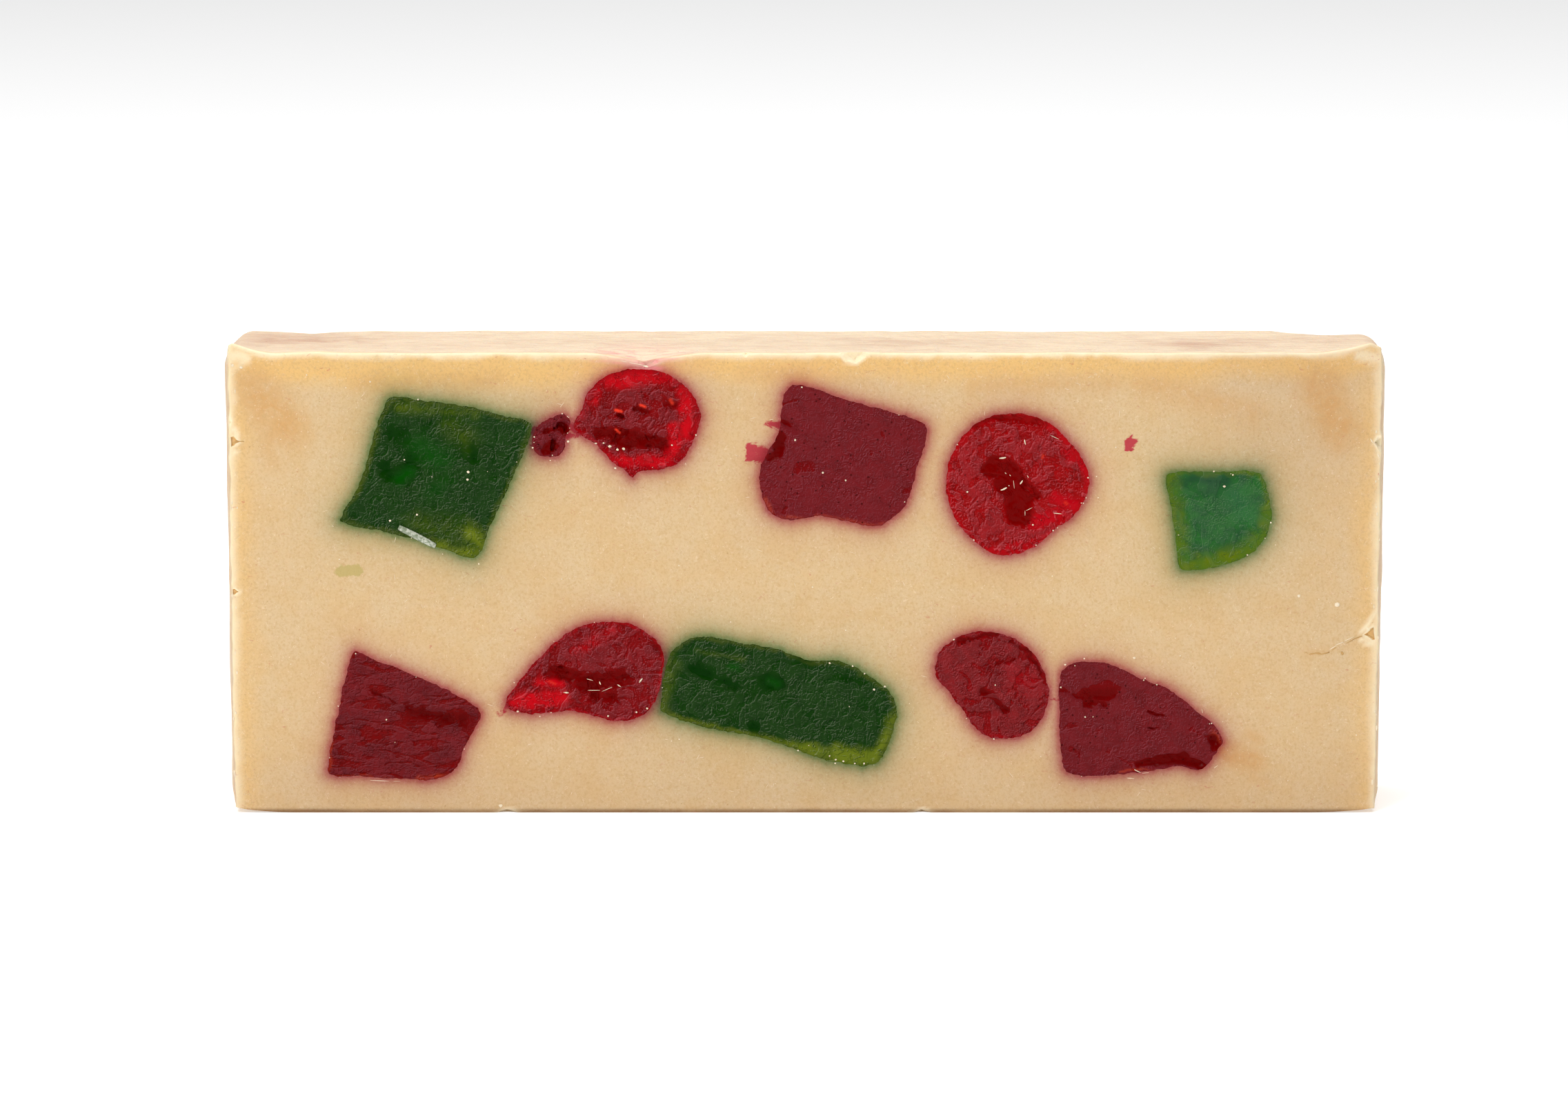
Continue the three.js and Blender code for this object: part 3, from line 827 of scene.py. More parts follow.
@dataclass
class FruitPiece:
    """One piece of candied fruit that runs through the bar, its cut faces creased and hollowed."""

    node: str
    flesh: Flesh
    seed: int
    hollow: float
    crease: float
    wet: tuple[Mark, ...] = ()
    glow: tuple[Mark, ...] = ()
    gleam: tuple[Mark, ...] = ()
    crease_size: float = 2.2
    rim_width: float = 0.45
    rim_strength: float = 0.8
    rings: int = 44
    around: int = 280
    drift: float = 0.55
    recess: float = 0.02
    overlap: float = 0.05
    crowding: float = 0.85
    dish: float = 0.05
    shelf: float = 0.8
    lip: float = 0.03
    lip_width: float = 0.45
    depths: int = 12
    sharp: float = 50.0

    def build(self, material: bpy.types.Material) -> bpy.types.Object:
        """Makes the piece from its outlines in the frame.

        Args:
            material: the flesh's material.

        Returns:
            The piece, which replaces its node.
        """
        self.loft = Loft(self.node, self.around)
        front, front_marks = self._cap(FRONT, 1.0)
        back, back_marks = self._cap(BACK, -1.0)
        walls = [self._grown(depth) for depth in np.linspace(FRONT, BACK, self.depths)[1:-1]]
        points = np.vstack([front, *walls, back])
        faces = self._cap_faces(0, False) + self._wall_faces(len(front), len(walls))
        faces += self._cap_faces(len(front) + len(walls) * self.around, True)
        marks = {}
        for name in ("wet", "glow", "gleam", "rim"):
            side = np.zeros(len(walls) * self.around)
            marks[name] = np.concatenate([front_marks[name], side, back_marks[name]])
        piece = new_piece(f"{self.node}_flesh", points, faces, material, marks)
        piece.data.set_sharp_from_angle(angle=math.radians(self.sharp))
        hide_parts(self.node)
        return piece

    def _grown(self, depth: float) -> np.ndarray:
        """The outline at a depth, a hair larger than in the frame, as points in space."""
        ring = self.loft.at(depth)
        return at_depth(ring + self.overlap * outwards(ring), depth)

    def _cap(self, depth: float, inwards: float) -> tuple[np.ndarray, dict[str, np.ndarray]]:
        """One cut face, as a middle point and rings out to the rim.

        Args:
            depth: the cut's place along Y.
            inwards: 1 at the front and -1 at the back, the way into the bar.

        Returns:
            The face's points, and its marks at each of them.
        """
        rim = self._grown(depth)[:, [0, 2]]
        flat, on_front = self._spread(rim), self._spread(self.loft.at(FRONT))
        inside = -signed_distance(flat, rim)
        space = at_depth(flat, depth)
        wander = [Grain(self.seed + k, 1.1, 3).at(space) for k in (5, 6)]
        drawn = on_front + self.drift * np.stack(wander, axis=1)
        wet, glow = marks_on(self.wet, drawn), marks_on(self.glow, drawn)
        fray = Grain(self.seed, 1.0, 3).at(space)
        wet = np.clip(wet * (1.15 + 1.1 * fray), 0.0, 1.0)
        glow = np.clip(glow * (1.1 + 0.9 * fray), 0.0, 1.0)
        lumps = Grain(self.seed + 1, 1.2, 3).at(space)
        pits = smooth(0.12, 0.24, Grain(self.seed + 2, self.crease_size, 2).at(space))
        sink = self.hollow * wet * (0.7 + 0.6 * lumps)
        sink += self.crease * pits * (0.6 + wet) + 0.4 * self.crease * lumps
        sink += self.dish * (1.0 + Grain(self.seed + 3, 3.0, 2).at(space))
        lip = self.lip * (1.0 - smooth(0.0, self.lip_width, inside))
        space[:, 1] = depth + inwards * (self.recess + sink * smooth(0.0, self.shelf, inside) + lip)
        width = self.rim_width * (1.0 + 0.9 * wander[0])
        rim_mark = self.rim_strength * (1.0 - smooth(0.3, 1.0, inside / np.maximum(width, 0.1)))
        return space, {"wet": wet, "glow": glow, "gleam": marks_on(self.gleam, on_front), "rim": rim_mark}

    def _spread(self, rim: np.ndarray) -> np.ndarray:
        """The middle of an outline, and rings from there out to it, closer together towards it."""
        middle = rim.mean(axis=0)
        shares = np.linspace(0.0, 1.0, self.rings + 1)[1:] ** self.crowding
        return np.vstack([middle, *(middle + share * (rim - middle) for share in shares)])

    def _cap_faces(self, start: int, turned: bool) -> list[list[int]]:
        """The faces of one cut face, whose points begin at a number; turned looks the other way."""
        faces = []
        n = self.around
        for k in range(n):
            after = (k + 1) % n
            faces.append([start, start + 1 + k, start + 1 + after])
            for ring in range(self.rings - 1):
                low, high = start + 1 + ring * n, start + 1 + (ring + 1) * n
                faces.append([low + k, high + k, high + after, low + after])
        return [face[::-1] for face in faces] if turned else faces

    def _wall_faces(self, front_count: int, walls: int) -> list[list[int]]:
        """The faces from the front rim through the walls to the back rim."""
        n = self.around
        starts = [front_count - n, *(front_count + k * n for k in range(walls))]
        starts.append(front_count + walls * n + 1 + (self.rings - 1) * n)
        faces = []
        for low, high in zip(starts, starts[1:]):
            faces += [[low + k, high + k, high + (k + 1) % n, low + (k + 1) % n] for k in range(n)]
        return faces


@dataclass(frozen=True)
class Rise:
    """A stretch of rim that is moved up or down: most at x, and nothing at its reach."""

    x: float
    rise: float
    reach: float
    fall: float = 1.7

    def at(self, x: np.ndarray) -> np.ndarray:
        """How much the rim moves at each x."""
        return self.rise * np.clip(1.0 - np.abs(x - self.x) / self.reach, 0.0, 1.0) ** self.fall


@dataclass(frozen=True)
class Patch:
    """An oval browned patch on the top, which fades outwards."""

    x: float
    y: float
    length: float
    width: float
    strength: float

    def at(self, x: np.ndarray, y: np.ndarray) -> np.ndarray:
        """How strong the patch is at each place."""
        return self.strength * np.exp(-(((x - self.x) / self.length) ** 2) - ((y - self.y) / self.width) ** 2)


@dataclass(frozen=True)
class Chip:
    """A notch in the front rim: a V on the cut face that slopes in to a smaller, deeper floor."""

    # Corners of the V, as shares of its reach and of its width: one runs out over the rim, one doesn't.
    OPEN = ((2.2, 0.72), (0.85, 0.5), (0.4, 0.34), (0.0, 0.0), (0.45, -0.3), (0.85, -0.46), (2.2, -0.68))
    CLOSED = ((0.95, 0.5), (0.6, 0.4), (0.35, 0.15), (0.0, 0.0), (0.35, -0.2), (0.7, -0.46), (1.0, -0.42))
    # How far the floor's tip draws back, and how ragged the outline is, in the same shares.
    DRAW_BACK = 0.28
    JAG = 0.07
    SHARES = (0.0, 0.25, 0.5, 0.75)
    # How far outside the outline the torn paste shows, in millimetres.
    TORN = 0.4

    tip: tuple[float, float]
    turn: float
    reach: float
    width: float
    depth: float
    floor: float = 0.5
    closed: bool = False

    def outline(self, level: float) -> np.ndarray:
        """The notch's outline at a level of its depth.

        Args:
            level: 0 on the cut face, 1 at the floor.

        Returns:
            Points [x, z], of which the middle one is the tip.
        """
        out = np.array([math.cos(math.radians(self.turn)), math.sin(math.radians(self.turn))])
        side = np.array([-out[1], out[0]]) * self.width * (1.0 - level * (1.0 - self.floor))
        tip = np.array(self.tip) + out * self.DRAW_BACK * self.reach * level
        corners = self.CLOSED if self.closed else self.OPEN
        rough = np.array([tip + out * self.reach * along + side * across for along, across in corners])
        after = np.roll(rough, -1, axis=0)
        ring = np.stack([rough + (after - rough) * share for share in self.SHARES], axis=1).reshape(-1, 2)
        space = at_depth(ring, 2.0 * level)
        jag = [Grain(60 + k, 0.5, 2).at(space) for k in (0, 1)]
        return ring + self.JAG * self.width * np.stack(jag, axis=1)

    def near(self, points: np.ndarray) -> tuple[np.ndarray, np.ndarray]:
        """Where points in space are by the notch.

        Args:
            points: places in millimetres, one row each.

        Returns:
            1 on the slopes and the rim, fading to 0 round them, and 1 on the golden floor of a closed notch.
        """
        level = (points[:, 1] - FRONT) / self.depth
        away = signed_distance(points[:, [0, 2]], self.outline(0.0))
        close = (1.0 - smooth(0.0, self.TORN, away)) * (level < 1.25)
        golden = smooth(0.05, 0.3, level) if self.closed else np.zeros(len(points))
        return close * (1.0 - golden), close * golden


@dataclass
class NougatBody:
    """The almond paste: a worn block with an ear at each top corner, and a pocket round each fruit."""

    # Height in millimetres and grain: of the cuts, of the ends, of the top, and of the rims.
    CUT_WAVES = ((0.05, Grain(3, 7.0, 3)), (0.022, Grain(4, 1.6, 2)))
    END_RIDGES = ((0.16, Grain(5, 1.5, 3, (1.0, 1.0, 5.0))), (0.12, Grain(6, 5.0, 2)))
    TOP_RIDGES = ((0.08, Grain(7, 1.1, 3, (8.0, 1.0, 1.0))), (0.06, Grain(8, 4.0, 2)))
    RIM_RAGS = ((0.22, Grain(9, 2.4, 3, (4.0, 4.0, 1.0))), (0.1, Grain(10, 0.9, 2)))
    RIM_WAVES = ((0.09, Grain(11, 3.5, 3, (1.0, 4.0, 4.0))),)
    # What makes the marks uneven.
    WANDER, JAG, SWING = Grain(21, 6.0, 3), Grain(23, 1.3, 3), Grain(24, 14.0, 2)
    PINK = Grain(22, 1.2, 3, (6.0, 1.0, 1.0))
    # A stain's share that fades fast, and how many times wider the rest of it is.
    FAST = 0.87
    WIDE = 3.2

    node: str = "nougat_body"
    length: float = 149.8
    height: float = 60.6
    lean: float = 0.25
    swell: float = 0.8
    corner: float = 2.6
    squaring: float = 0.75
    knife_fade: float = 4.0
    wear: float = 0.4
    spacing: float = 0.57
    deep_spacing: float = 1.6
    rim_hold: int = 8
    end_sunk: float = 0.15
    rim_sunk: float = 0.1
    pocket_past: float = 2.0
    sharp: float = 42.0
    rim_steps: tuple[float, ...] = (0.0, 0.11, 0.24, 0.4, 0.62, 0.92, 1.3, 1.8)
    top_front: tuple[Rise, ...] = (
        Rise(-74.4, 1.5, 6.0), Rise(73.4, 1.5, 8.0), Rise(-21.0, -1.35, 8.0), Rise(-63.0, 0.15, 5.0),
    )
    top_back: tuple[Rise, ...] = (
        Rise(-65.0, -0.45, 8.0), Rise(69.5, -0.75, 8.0, 0.9), Rise(30.0, -0.15, 14.0),
    )
    base_front: tuple[Rise, ...] = (Rise(-74.4, 0.55, 8.0), Rise(73.8, 0.45, 8.0))
    chips: tuple[Chip, ...] = (
        Chip((72.8, 23.6), 4.0, 1.4, 1.8, 0.35, 0.8, True), Chip((73.9, 48.9), -8.0, 1.1, 2.4, 0.7),
        Chip((-73.4, 49.0), 180.0, 1.2, 1.5, 0.35, 0.8, True), Chip((-74.5, 51.6), 176.0, 0.8, 2.2, 0.5),
        Chip((-73.7, 29.2), 180.0, 0.8, 0.9, 0.25, 0.7, True), Chip((6.6, 59.2), 96.0, 1.6, 4.0, 0.6, 0.6),
        Chip((-7.7, 60.1), 90.0, 0.8, 1.8, 0.5), Chip((17.8, 60.4), 90.0, 0.6, 1.6, 0.4),
        Chip((-39.0, 0.5), -90.0, 0.7, 3.4, 0.7), Chip((15.2, 0.45), -90.0, 0.7, 3.4, 0.7),
        Chip((-20.7, 58.6), 84.0, 1.0, 3.4, 0.5, 0.7),
    )
    browned: tuple[Patch, ...] = (
        Patch(-66.0, 3.5, 9.0, 7.0, 0.9), Patch(52.0, -2.5, 7.0, 4.0, 0.75), Patch(68.0, 3.5, 6.0, 3.5, 0.5),
        Patch(13.0, -1.0, 9.0, 6.0, 0.3),
    )
    browns: tuple[Mark, ...] = (
        Mark(-71.5, 56.0, -67.5, 51.0, 2.6, 4.5, 0.95), Mark(-70.0, 49.0, -69.0, 46.0, 1.0, 3.5, 0.5),
        Mark(-58.0, 56.6, -40.0, 56.9, 1.0, 2.6, 0.6), Mark(67.0, 56.0, 69.5, 50.5, 2.6, 5.0, 0.95),
        Mark(44.0, 56.5, 58.0, 53.0, 1.4, 3.4, 0.6), Mark(22.0, 56.3, 40.0, 56.6, 1.0, 2.6, 0.6),
        Mark(-8.0, 57.8, 0.0, 57.5, 0.8, 2.0, 0.5), Mark(65.5, 21.0, 71.0, 22.2, 0.3, 1.4, 0.5),
        Mark(54.6, 8.2, 58.5, 6.8, 1.3, 2.6, 1.1), Mark(58.0, 10.4, 59.4, 9.6, 0.5, 1.6, 0.7),
        Mark(58.5, 4.6, 60.0, 4.0, 0.6, 2.0, 0.5),
    )
    smears: tuple[Mark, ...] = (
        Mark(-7.4, 48.2, -5.2, 47.9, 0.5, 0.6, 0.85), Mark(-7.2, 47.0, -5.0, 46.8, 0.6, 0.6, 0.95),
        Mark(-4.9, 51.3, -3.0, 51.2, 0.4, 0.5, 0.9), Mark(42.0, 48.4, 42.4, 49.1, 0.65, 0.5, 1.0),
        Mark(32.2, 15.0, 33.2, 15.1, 0.35, 0.4, 0.5), Mark(-39.8, 13.2, -38.6, 14.2, 0.5, 0.7, 0.6),
        Mark(-31.4, 51.0, -29.0, 50.8, 0.5, 0.7, 0.95), Mark(-31.4, 49.6, -29.4, 50.0, 0.4, 0.7, 0.85),
        Mark(-36.4, 50.6, -34.2, 50.2, 0.5, 0.7, 0.9), Mark(-35.4, 48.6, -34.0, 48.4, 0.3, 0.7, 0.7),
    )
    olives: tuple[Mark, ...] = (Mark(-60.5, 31.9, -58.3, 32.1, 0.75, 1.4, 0.7),)
    flaps: tuple[Mark, ...] = (
        Mark(-75.2, 60.4, -72.6, 60.0, 0.8, 1.0, 0.8), Mark(-74.6, 58.4, -73.2, 58.9, 0.3, 0.9, 0.6),
        Mark(-74.8, 56.5, -74.5, 54.5, 0.6, 0.9, 0.6), Mark(72.0, 60.4, 75.0, 59.8, 0.7, 1.0, 0.8),
        Mark(74.4, 58.0, 74.5, 55.0, 0.5, 0.8, 0.6), Mark(-75.0, 51.4, -73.9, 50.2, 0.4, 0.8, 0.95),
        Mark(-75.0, 46.6, -74.0, 47.6, 0.4, 0.8, 0.95), Mark(74.6, 27.4, 73.5, 25.6, 0.3, 0.8, 0.9),
        Mark(73.4, 25.2, 72.5, 24.2, 0.3, 0.6, 0.95), Mark(72.3, 23.1, 73.6, 22.4, 0.3, 0.6, 0.95),
        Mark(73.8, 22.4, 74.8, 22.2, 0.4, 0.8, 0.9),
    )
    flap_depth: float = 0.9
    red_halo: tuple[float, float] = (0.2, 0.88)
    green_halo: tuple[float, float] = (0.15, 1.15)
    reds: tuple[str, ...] = ()
    greens: tuple[str, ...] = ()
    lofts: dict[str, Loft] = field(default_factory=dict)

    def build(self, material: bpy.types.Material) -> bpy.types.Object:
        """Makes the nougat with its pockets and chips cut.

        Args:
            material: the paste's material.

        Returns:
            The nougat, which replaces its node.
        """
        points, faces = self._grid()
        points = self._relief(self._shaped(points), faces)
        piece = new_piece("nougat_paste", points, faces, material)
        cutters = [self._pocket(loft) for loft in self.lofts.values()]
        cutters += [self._notch(chip) for chip in self.chips]
        self._cut(piece, cutters)
        piece.data.shade_smooth()
        piece.data.set_sharp_from_angle(angle=math.radians(self.sharp))
        self._mark(piece)
        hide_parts(self.node)
        LOG.info("nougat after its cuts: %d faces", len(piece.data.polygons))
        return piece

    def _lines(self, low: float, high: float, spacing: float) -> np.ndarray:
        """Grid lines from low to high, close together near both ends."""
        rim = np.array(self.rim_steps)
        inner = high - low - 2 * rim[-1]
        middle = np.linspace(low + rim[-1], high - rim[-1], int(round(inner / spacing)) + 1)
        return np.concatenate([low + rim[:-1], middle, (high - rim[:-1])[::-1]])

    def _grid(self) -> tuple[np.ndarray, np.ndarray]:
        """The surface of a plain box as a grid.

        Returns:
            The points, and faces of four points each.
        """
        lines = [
            self._lines(-self.length / 2, self.length / 2, self.spacing),
            self._lines(FRONT, BACK, self.deep_spacing),
            self._lines(0.0, self.height, self.spacing),
        ]
        last = [len(x) - 1 for x in lines]
        quads = []
        for axis in range(3):
            a, b = [k for k in range(3) if k != axis]
            first, second = np.meshgrid(np.arange(last[a]), np.arange(last[b]), indexing="ij")
            for end in (0, last[axis]):
                ring = np.zeros((first.size, 4, 3), np.int64)
                ring[:, :, axis] = end
                for corner, (da, db) in enumerate(((0, 0), (1, 0), (1, 1), (0, 1))):
                    ring[:, corner, a] = first.ravel() + da
                    ring[:, corner, b] = second.ravel() + db
                outwards = (axis == 1) == (end == 0)
                quads.append(ring if outwards else ring[:, ::-1])
        corners = np.concatenate(quads).reshape(-1, 3)
        unique, index = np.unique(corners, axis=0, return_inverse=True)
        points = np.stack([lines[k][unique[:, k]] for k in range(3)], axis=1)
        return points, index.reshape(-1, 4)

    @staticmethod
    def _disc(first: np.ndarray, second: np.ndarray) -> tuple[np.ndarray, np.ndarray]:
        """Maps a unit square's quarter to a disc's: its far sides land on the arc."""
        return first * np.sqrt(1.0 - second**2 / 2.0), second * np.sqrt(1.0 - first**2 / 2.0)

    def _shaped(self, points: np.ndarray) -> np.ndarray:
        """Rounds, swells and marks the plain box.

        Args:
            points: the box's points.

        Returns:
            The block's points.
        """
        x, y, z = points.T.copy()
        to_front = np.clip(1.0 - (y - FRONT) / self.knife_fade, 0.0, 1.0)
        to_back = np.clip(1.0 - (BACK - y) / self.knife_fade, 0.0, 1.0)
        half, middle = self.length / 2, self.height / 2

        # The small round wear of every edge of the two cuts.
        to_cut = np.minimum(y - FRONT, BACK - y)
        near_cut = np.clip(1.0 - to_cut / self.wear, 0.0, 1.0)
        near_end = np.clip(1.0 - (half - np.abs(x)) / self.wear, 0.0, 1.0)
        near_top = np.clip(1.0 - (self.height - z) / self.wear, 0.0, 1.0)
        near_edge = np.clip(np.maximum(near_end, near_top), 0.0, 1.0)
        _, cut_arc = self._disc(near_edge, near_cut)
        end_arc, _ = self._disc(near_end, near_cut)
        top_arc, _ = self._disc(near_top, near_cut)
        y = y + np.sign(y) * self.wear * (cut_arc - near_cut)
        x = x + np.sign(x) * self.wear * (end_arc - near_end)
        z = z + self.wear * (top_arc - near_top)

        # The large round corners, squarer at the front.
        out = np.clip((np.abs(x) - (half - self.corner)) / self.corner, 0.0, 1.0)
        up = np.clip((np.abs(z - middle) - (middle - self.corner)) / self.corner, 0.0, 1.0)
        out_arc, up_arc = self._disc(out, up)
        keep = 1.0 - self.squaring * to_front
        x = x + np.sign(x) * self.corner * (out_arc - out) * keep
        z = z + np.sign(z - middle) * self.corner * (up_arc - up) * keep

        # The swollen and leaning ends, and the rims that the knife moved.
        side, level = x / half, z / self.height
        from_middle = 1.0 - (y / BACK) ** 2
        x = x + side**3 * self.swell * from_middle + side * self.lean * (2 * level - 1)
        top = np.clip(level, 0.0, None) ** self.rim_hold * (level > 0.5)
        low = np.clip(1.0 - level, 0.0, None) ** self.rim_hold * (level <= 0.5)
        z = z + top * to_front * sum(r.at(x) for r in self.top_front)
        z = z + top * to_back * sum(r.at(x) for r in self.top_back)
        z = z + low * to_front * sum(r.at(x) for r in self.base_front)
        return np.stack([x, y, z], axis=1)

    def _relief(self, points: np.ndarray, faces: np.ndarray) -> np.ndarray:
        """Adds the unevenness of soft paste: low waves on the cuts, ridges on the skin, ragged rims.

        Args:
            points: the block's points.
            faces: its faces.

        Returns:
            The points, moved.
        """
        normals = np.zeros_like(points)
        a, b, c, d = (points[faces[:, k]] for k in range(4))
        face_normals = np.cross(c - a, d - b)
        for k in range(4):
            np.add.at(normals, faces[:, k], face_normals)
        normals /= np.maximum(np.linalg.norm(normals, axis=1), TINY)[:, None]
        on_cut = smooth(0.5, 0.95, np.abs(normals[:, 1]))
        on_end = smooth(0.5, 0.95, np.abs(normals[:, 0]))
        on_top = smooth(0.5, 0.95, normals[:, 2])
        on_base = smooth(0.3, 0.7, -normals[:, 2])
        near_base = 1.0 - smooth(0.3, 2.0, points[:, 2])

        end_ridges = (layered(self.END_RIDGES, points) - self.end_sunk) * (1 - near_base)
        amount = on_cut * layered(self.CUT_WAVES, points) + on_end * end_ridges
        amount = amount + on_top * layered(self.TOP_RIDGES, points)
        moved = points + normals * (amount * (1.0 - on_base))[:, None]

        to_cut = np.minimum(points[:, 1] - FRONT, BACK - points[:, 1])
        at_rim = 1.0 - smooth(0.2, 1.3, to_cut)
        at_end = smooth(-1.6, -0.2, np.abs(points[:, 0]) - self.length / 2)
        ragged = self.rim_sunk + layered(self.RIM_RAGS, points)
        moved[:, 0] -= np.sign(points[:, 0]) * ragged * at_rim * at_end * (1 - near_base)
        at_top = smooth(-1.4, -0.2, points[:, 2] - self.height)
        moved[:, 2] += layered(self.RIM_WAVES, points) * at_rim * at_top
        moved[:, 2] = np.maximum(moved[:, 2], 0.0)
        return moved

    def _pocket(self, loft: Loft) -> bpy.types.Object:
        """A solid that cuts one fruit's pocket right through the block."""
        depths = [FRONT - self.pocket_past, *np.linspace(FRONT, BACK, 5), BACK + self.pocket_past]
        return self._stack("pocket", [(y, loft.at(y)) for y in depths])

    def _notch(self, chip: Chip) -> bpy.types.Object:
        """A solid that cuts one chip out of the rim."""
        levels = [(-0.6, 0.0), (0.0, 0.0), (0.5, 0.5), (1.0, 1.0)]
        return self._stack("chip", [(FRONT + chip.depth * at, chip.outline(level)) for at, level in levels])

    def _stack(self, name: str, levels: list[tuple[float, np.ndarray]]) -> bpy.types.Object:
        """A solid through outlines at rising depths.

        Args:
            name: its name.
            levels: each depth, and its outline's points [x, z].

        Returns:
            The solid, which only cuts.
        """
        rings = [at_depth(ring, y) for y, ring in levels]
        n = len(rings[0])
        points = np.vstack(rings)
        faces: list[Sequence[int]] = [tuple(range(n)), tuple(range(len(points) - 1, len(points) - n - 1, -1))]
        for level in range(len(rings) - 1):
            low, high = level * n, (level + 1) * n
            faces += [(low + k, high + k, high + (k + 1) % n, low + (k + 1) % n) for k in range(n)]
        return self._cutter(name, points, faces)

    @staticmethod
    def _cutter(name: str, points: np.ndarray, faces: Iterable[Sequence[int]]) -> bpy.types.Object:
        """A plain mesh object that only cuts."""
        mesh = bpy.data.meshes.new(name)
        mesh.from_pydata([tuple(p) for p in points * MM], [], list(faces))
        made = bpy.data.objects.new(name, mesh)
        bpy.context.scene.collection.objects.link(made)
        return made

    @staticmethod
    def _cut(piece: bpy.types.Object, cutters: list[bpy.types.Object]) -> None:
        """Cuts every cutter out of the piece, and removes the cutters."""
        for cutter in cutters:
            cut = piece.modifiers.new("cut", "BOOLEAN")
            cut.operation = "DIFFERENCE"
            cut.solver = "MANIFOLD"
            cut.object = cutter
        bpy.context.view_layer.update()
        shaped = bpy.data.meshes.new_from_object(piece.evaluated_get(bpy.context.evaluated_depsgraph_get()))
        piece.modifiers.clear()
        old, piece.data = piece.data, shaped
        bpy.data.meshes.remove(old)
        for cutter in cutters:
            bpy.data.objects.remove(cutter)

    def _halo(self, away: np.ndarray, start: float, reach: float) -> np.ndarray:
        """A stain that fades fast from a start outside the fruit, with a faint wide rest."""
        past = np.clip(away - start, 0.0, None)
        return self.FAST * np.exp(-past / reach) + (1.0 - self.FAST) * np.exp(-past / (self.WIDE * reach))

    def _mark(self, piece: bpy.types.Object) -> None:
        """Stores where the paste is golden, brown, stained, or skin, for its finish."""
        count = len(piece.data.vertices)
        flat = np.zeros(count * 3)
        piece.data.vertices.foreach_get("co", flat)
        points = flat.reshape(-1, 3) * PER_M
        x, y, z = points.T
        face_places = points[:, [0, 2]]
        to_cut = np.minimum(y - FRONT, BACK - y)
        top = self.height + sum(r.at(x) for r in self.top_front)
        to_top = top - z
        to_end = self.length / 2 + self.lean * (2 * z / self.height - 1) - np.abs(x)
        red = np.min([self.lofts[name].outside(points) for name in self.reds], axis=0)
        green = np.min([self.lofts[name].outside(points) for name in self.greens], axis=0)
        in_pocket = np.minimum(red, green) < 0.3
        skin = smooth(0.25, 0.75, to_cut) * np.where((np.minimum(to_top, to_end) < 2.8) | (z < 0.6), 1.0, 0.0)
        near = [chip.near(points) for chip in self.chips]
        chipped, floors = (np.max([pair[k] for pair in near], axis=0) for k in (0, 1))
        skin = np.where(in_pocket, 0.0, skin * (1.0 - np.maximum(chipped, floors)))
        wander, jag, swing = self.WANDER.at(points), self.JAG.at(points), self.SWING.at(points)

        # The painted golden glow of light through the paste near the top and the ends, also given to the
        # floors of the closed notches, and the pale lip at its rim with its torn flaps: pale torn paste, and
        # a painted highlight where the rounded rim catches the light.
        front_lip = 1 - smooth(0.1, 0.7, to_cut)
        gold = (1.2 + 0.5 * swing) * (1 - smooth(1.4, 5.6 + 1.6 * wander + 1.2 * swing, to_top))
        gold = np.maximum(gold, (0.55 + 0.4 * swing) * (1 - smooth(0.8, 5.2 + 1.8 * wander, to_end)))
        gold = np.maximum(gold, floors)
        # Pale lip along the top and end rims, partly a painted highlight where the rounded rim catches the
        # light.
        lip = (1 - smooth(0.0, 1.15 + 0.6 * wander, to_top + 0.35 * jag)) * front_lip
        end_lip = (1 - smooth(0.0, 2.0 + 0.7 * wander, to_end + 0.3 * jag)) ** 1.4
        lip = np.maximum(lip, 0.9 * end_lip * front_lip)
        torn = face_places + 0.4 * np.stack([wander, jag], axis=1)
        flaps = marks_on(self.flaps, torn) * (y < FRONT + self.flap_depth)
        lip = np.maximum(np.maximum(lip, flaps) * (1 - floors), 0.95 * chipped)

        # The skin: a pink stain over the upper left cherry, browned patches, and the ends.
        fade = np.exp(-(((y - FRONT) / 8.0) ** 2)) + 0.35 * np.exp(-(((y - BACK) / 2.5) ** 2))
        over_cherry = np.exp(-(((x + 21.5) / 6.0) ** 2)) * (1 - smooth(1.0, 2.6, to_top))
        stain = over_cherry * (0.5 + 0.5 * self.PINK.at(points)) * fade
        bands = 0.2 * np.exp(-((y / 7.0) ** 2))
        for patch in self.browned:
            bands += patch.at(x, y)
        flank = smooth(-0.9, -0.3, np.abs(x) - self.length / 2) * (1 - smooth(-2.0, -0.8, z - self.height))

        # Painted shade: the paste is darker towards the base, the right end and the upper right, and a
        # painted contact shadow runs along the base of the bar.
        shade = 0.4 * (1 - smooth(0.0, 14.0, z))
        shade += 0.5 * np.exp(-(((x - 62) / 12.0) ** 2 + ((z - 50) / 11.0) ** 2))
        shade += 0.2 * smooth(45.0, 75.0, x) + 0.3 * smooth(25.0, 60.0, x) * smooth(54.0, 58.0, z)
        # Painted contact shadow, darkest within 0.75 mm of the base.
        contact_shadow = (1.05 + 0.6 * wander) * (1 - smooth(0.0, 0.75, z))
        on_front = y < 0.5 * FRONT
        write_marks(piece, {
            "gold": gold, "lip": lip, "skin": skin, "stain": stain, "bands": bands, "flank": flank,
            "shade": shade * (1 - skin), "contact_shadow": contact_shadow * (1 - skin),
            "brown": marks_on(self.browns, face_places),
            "smear": marks_on(self.smears, face_places) * on_front,
            "olive": marks_on(self.olives, face_places) * on_front,
            "red_halo": self._halo(red, *self.red_halo) * (1 - skin),
            "green_halo": self._halo(green, *self.green_halo) * (1 - skin),
        })


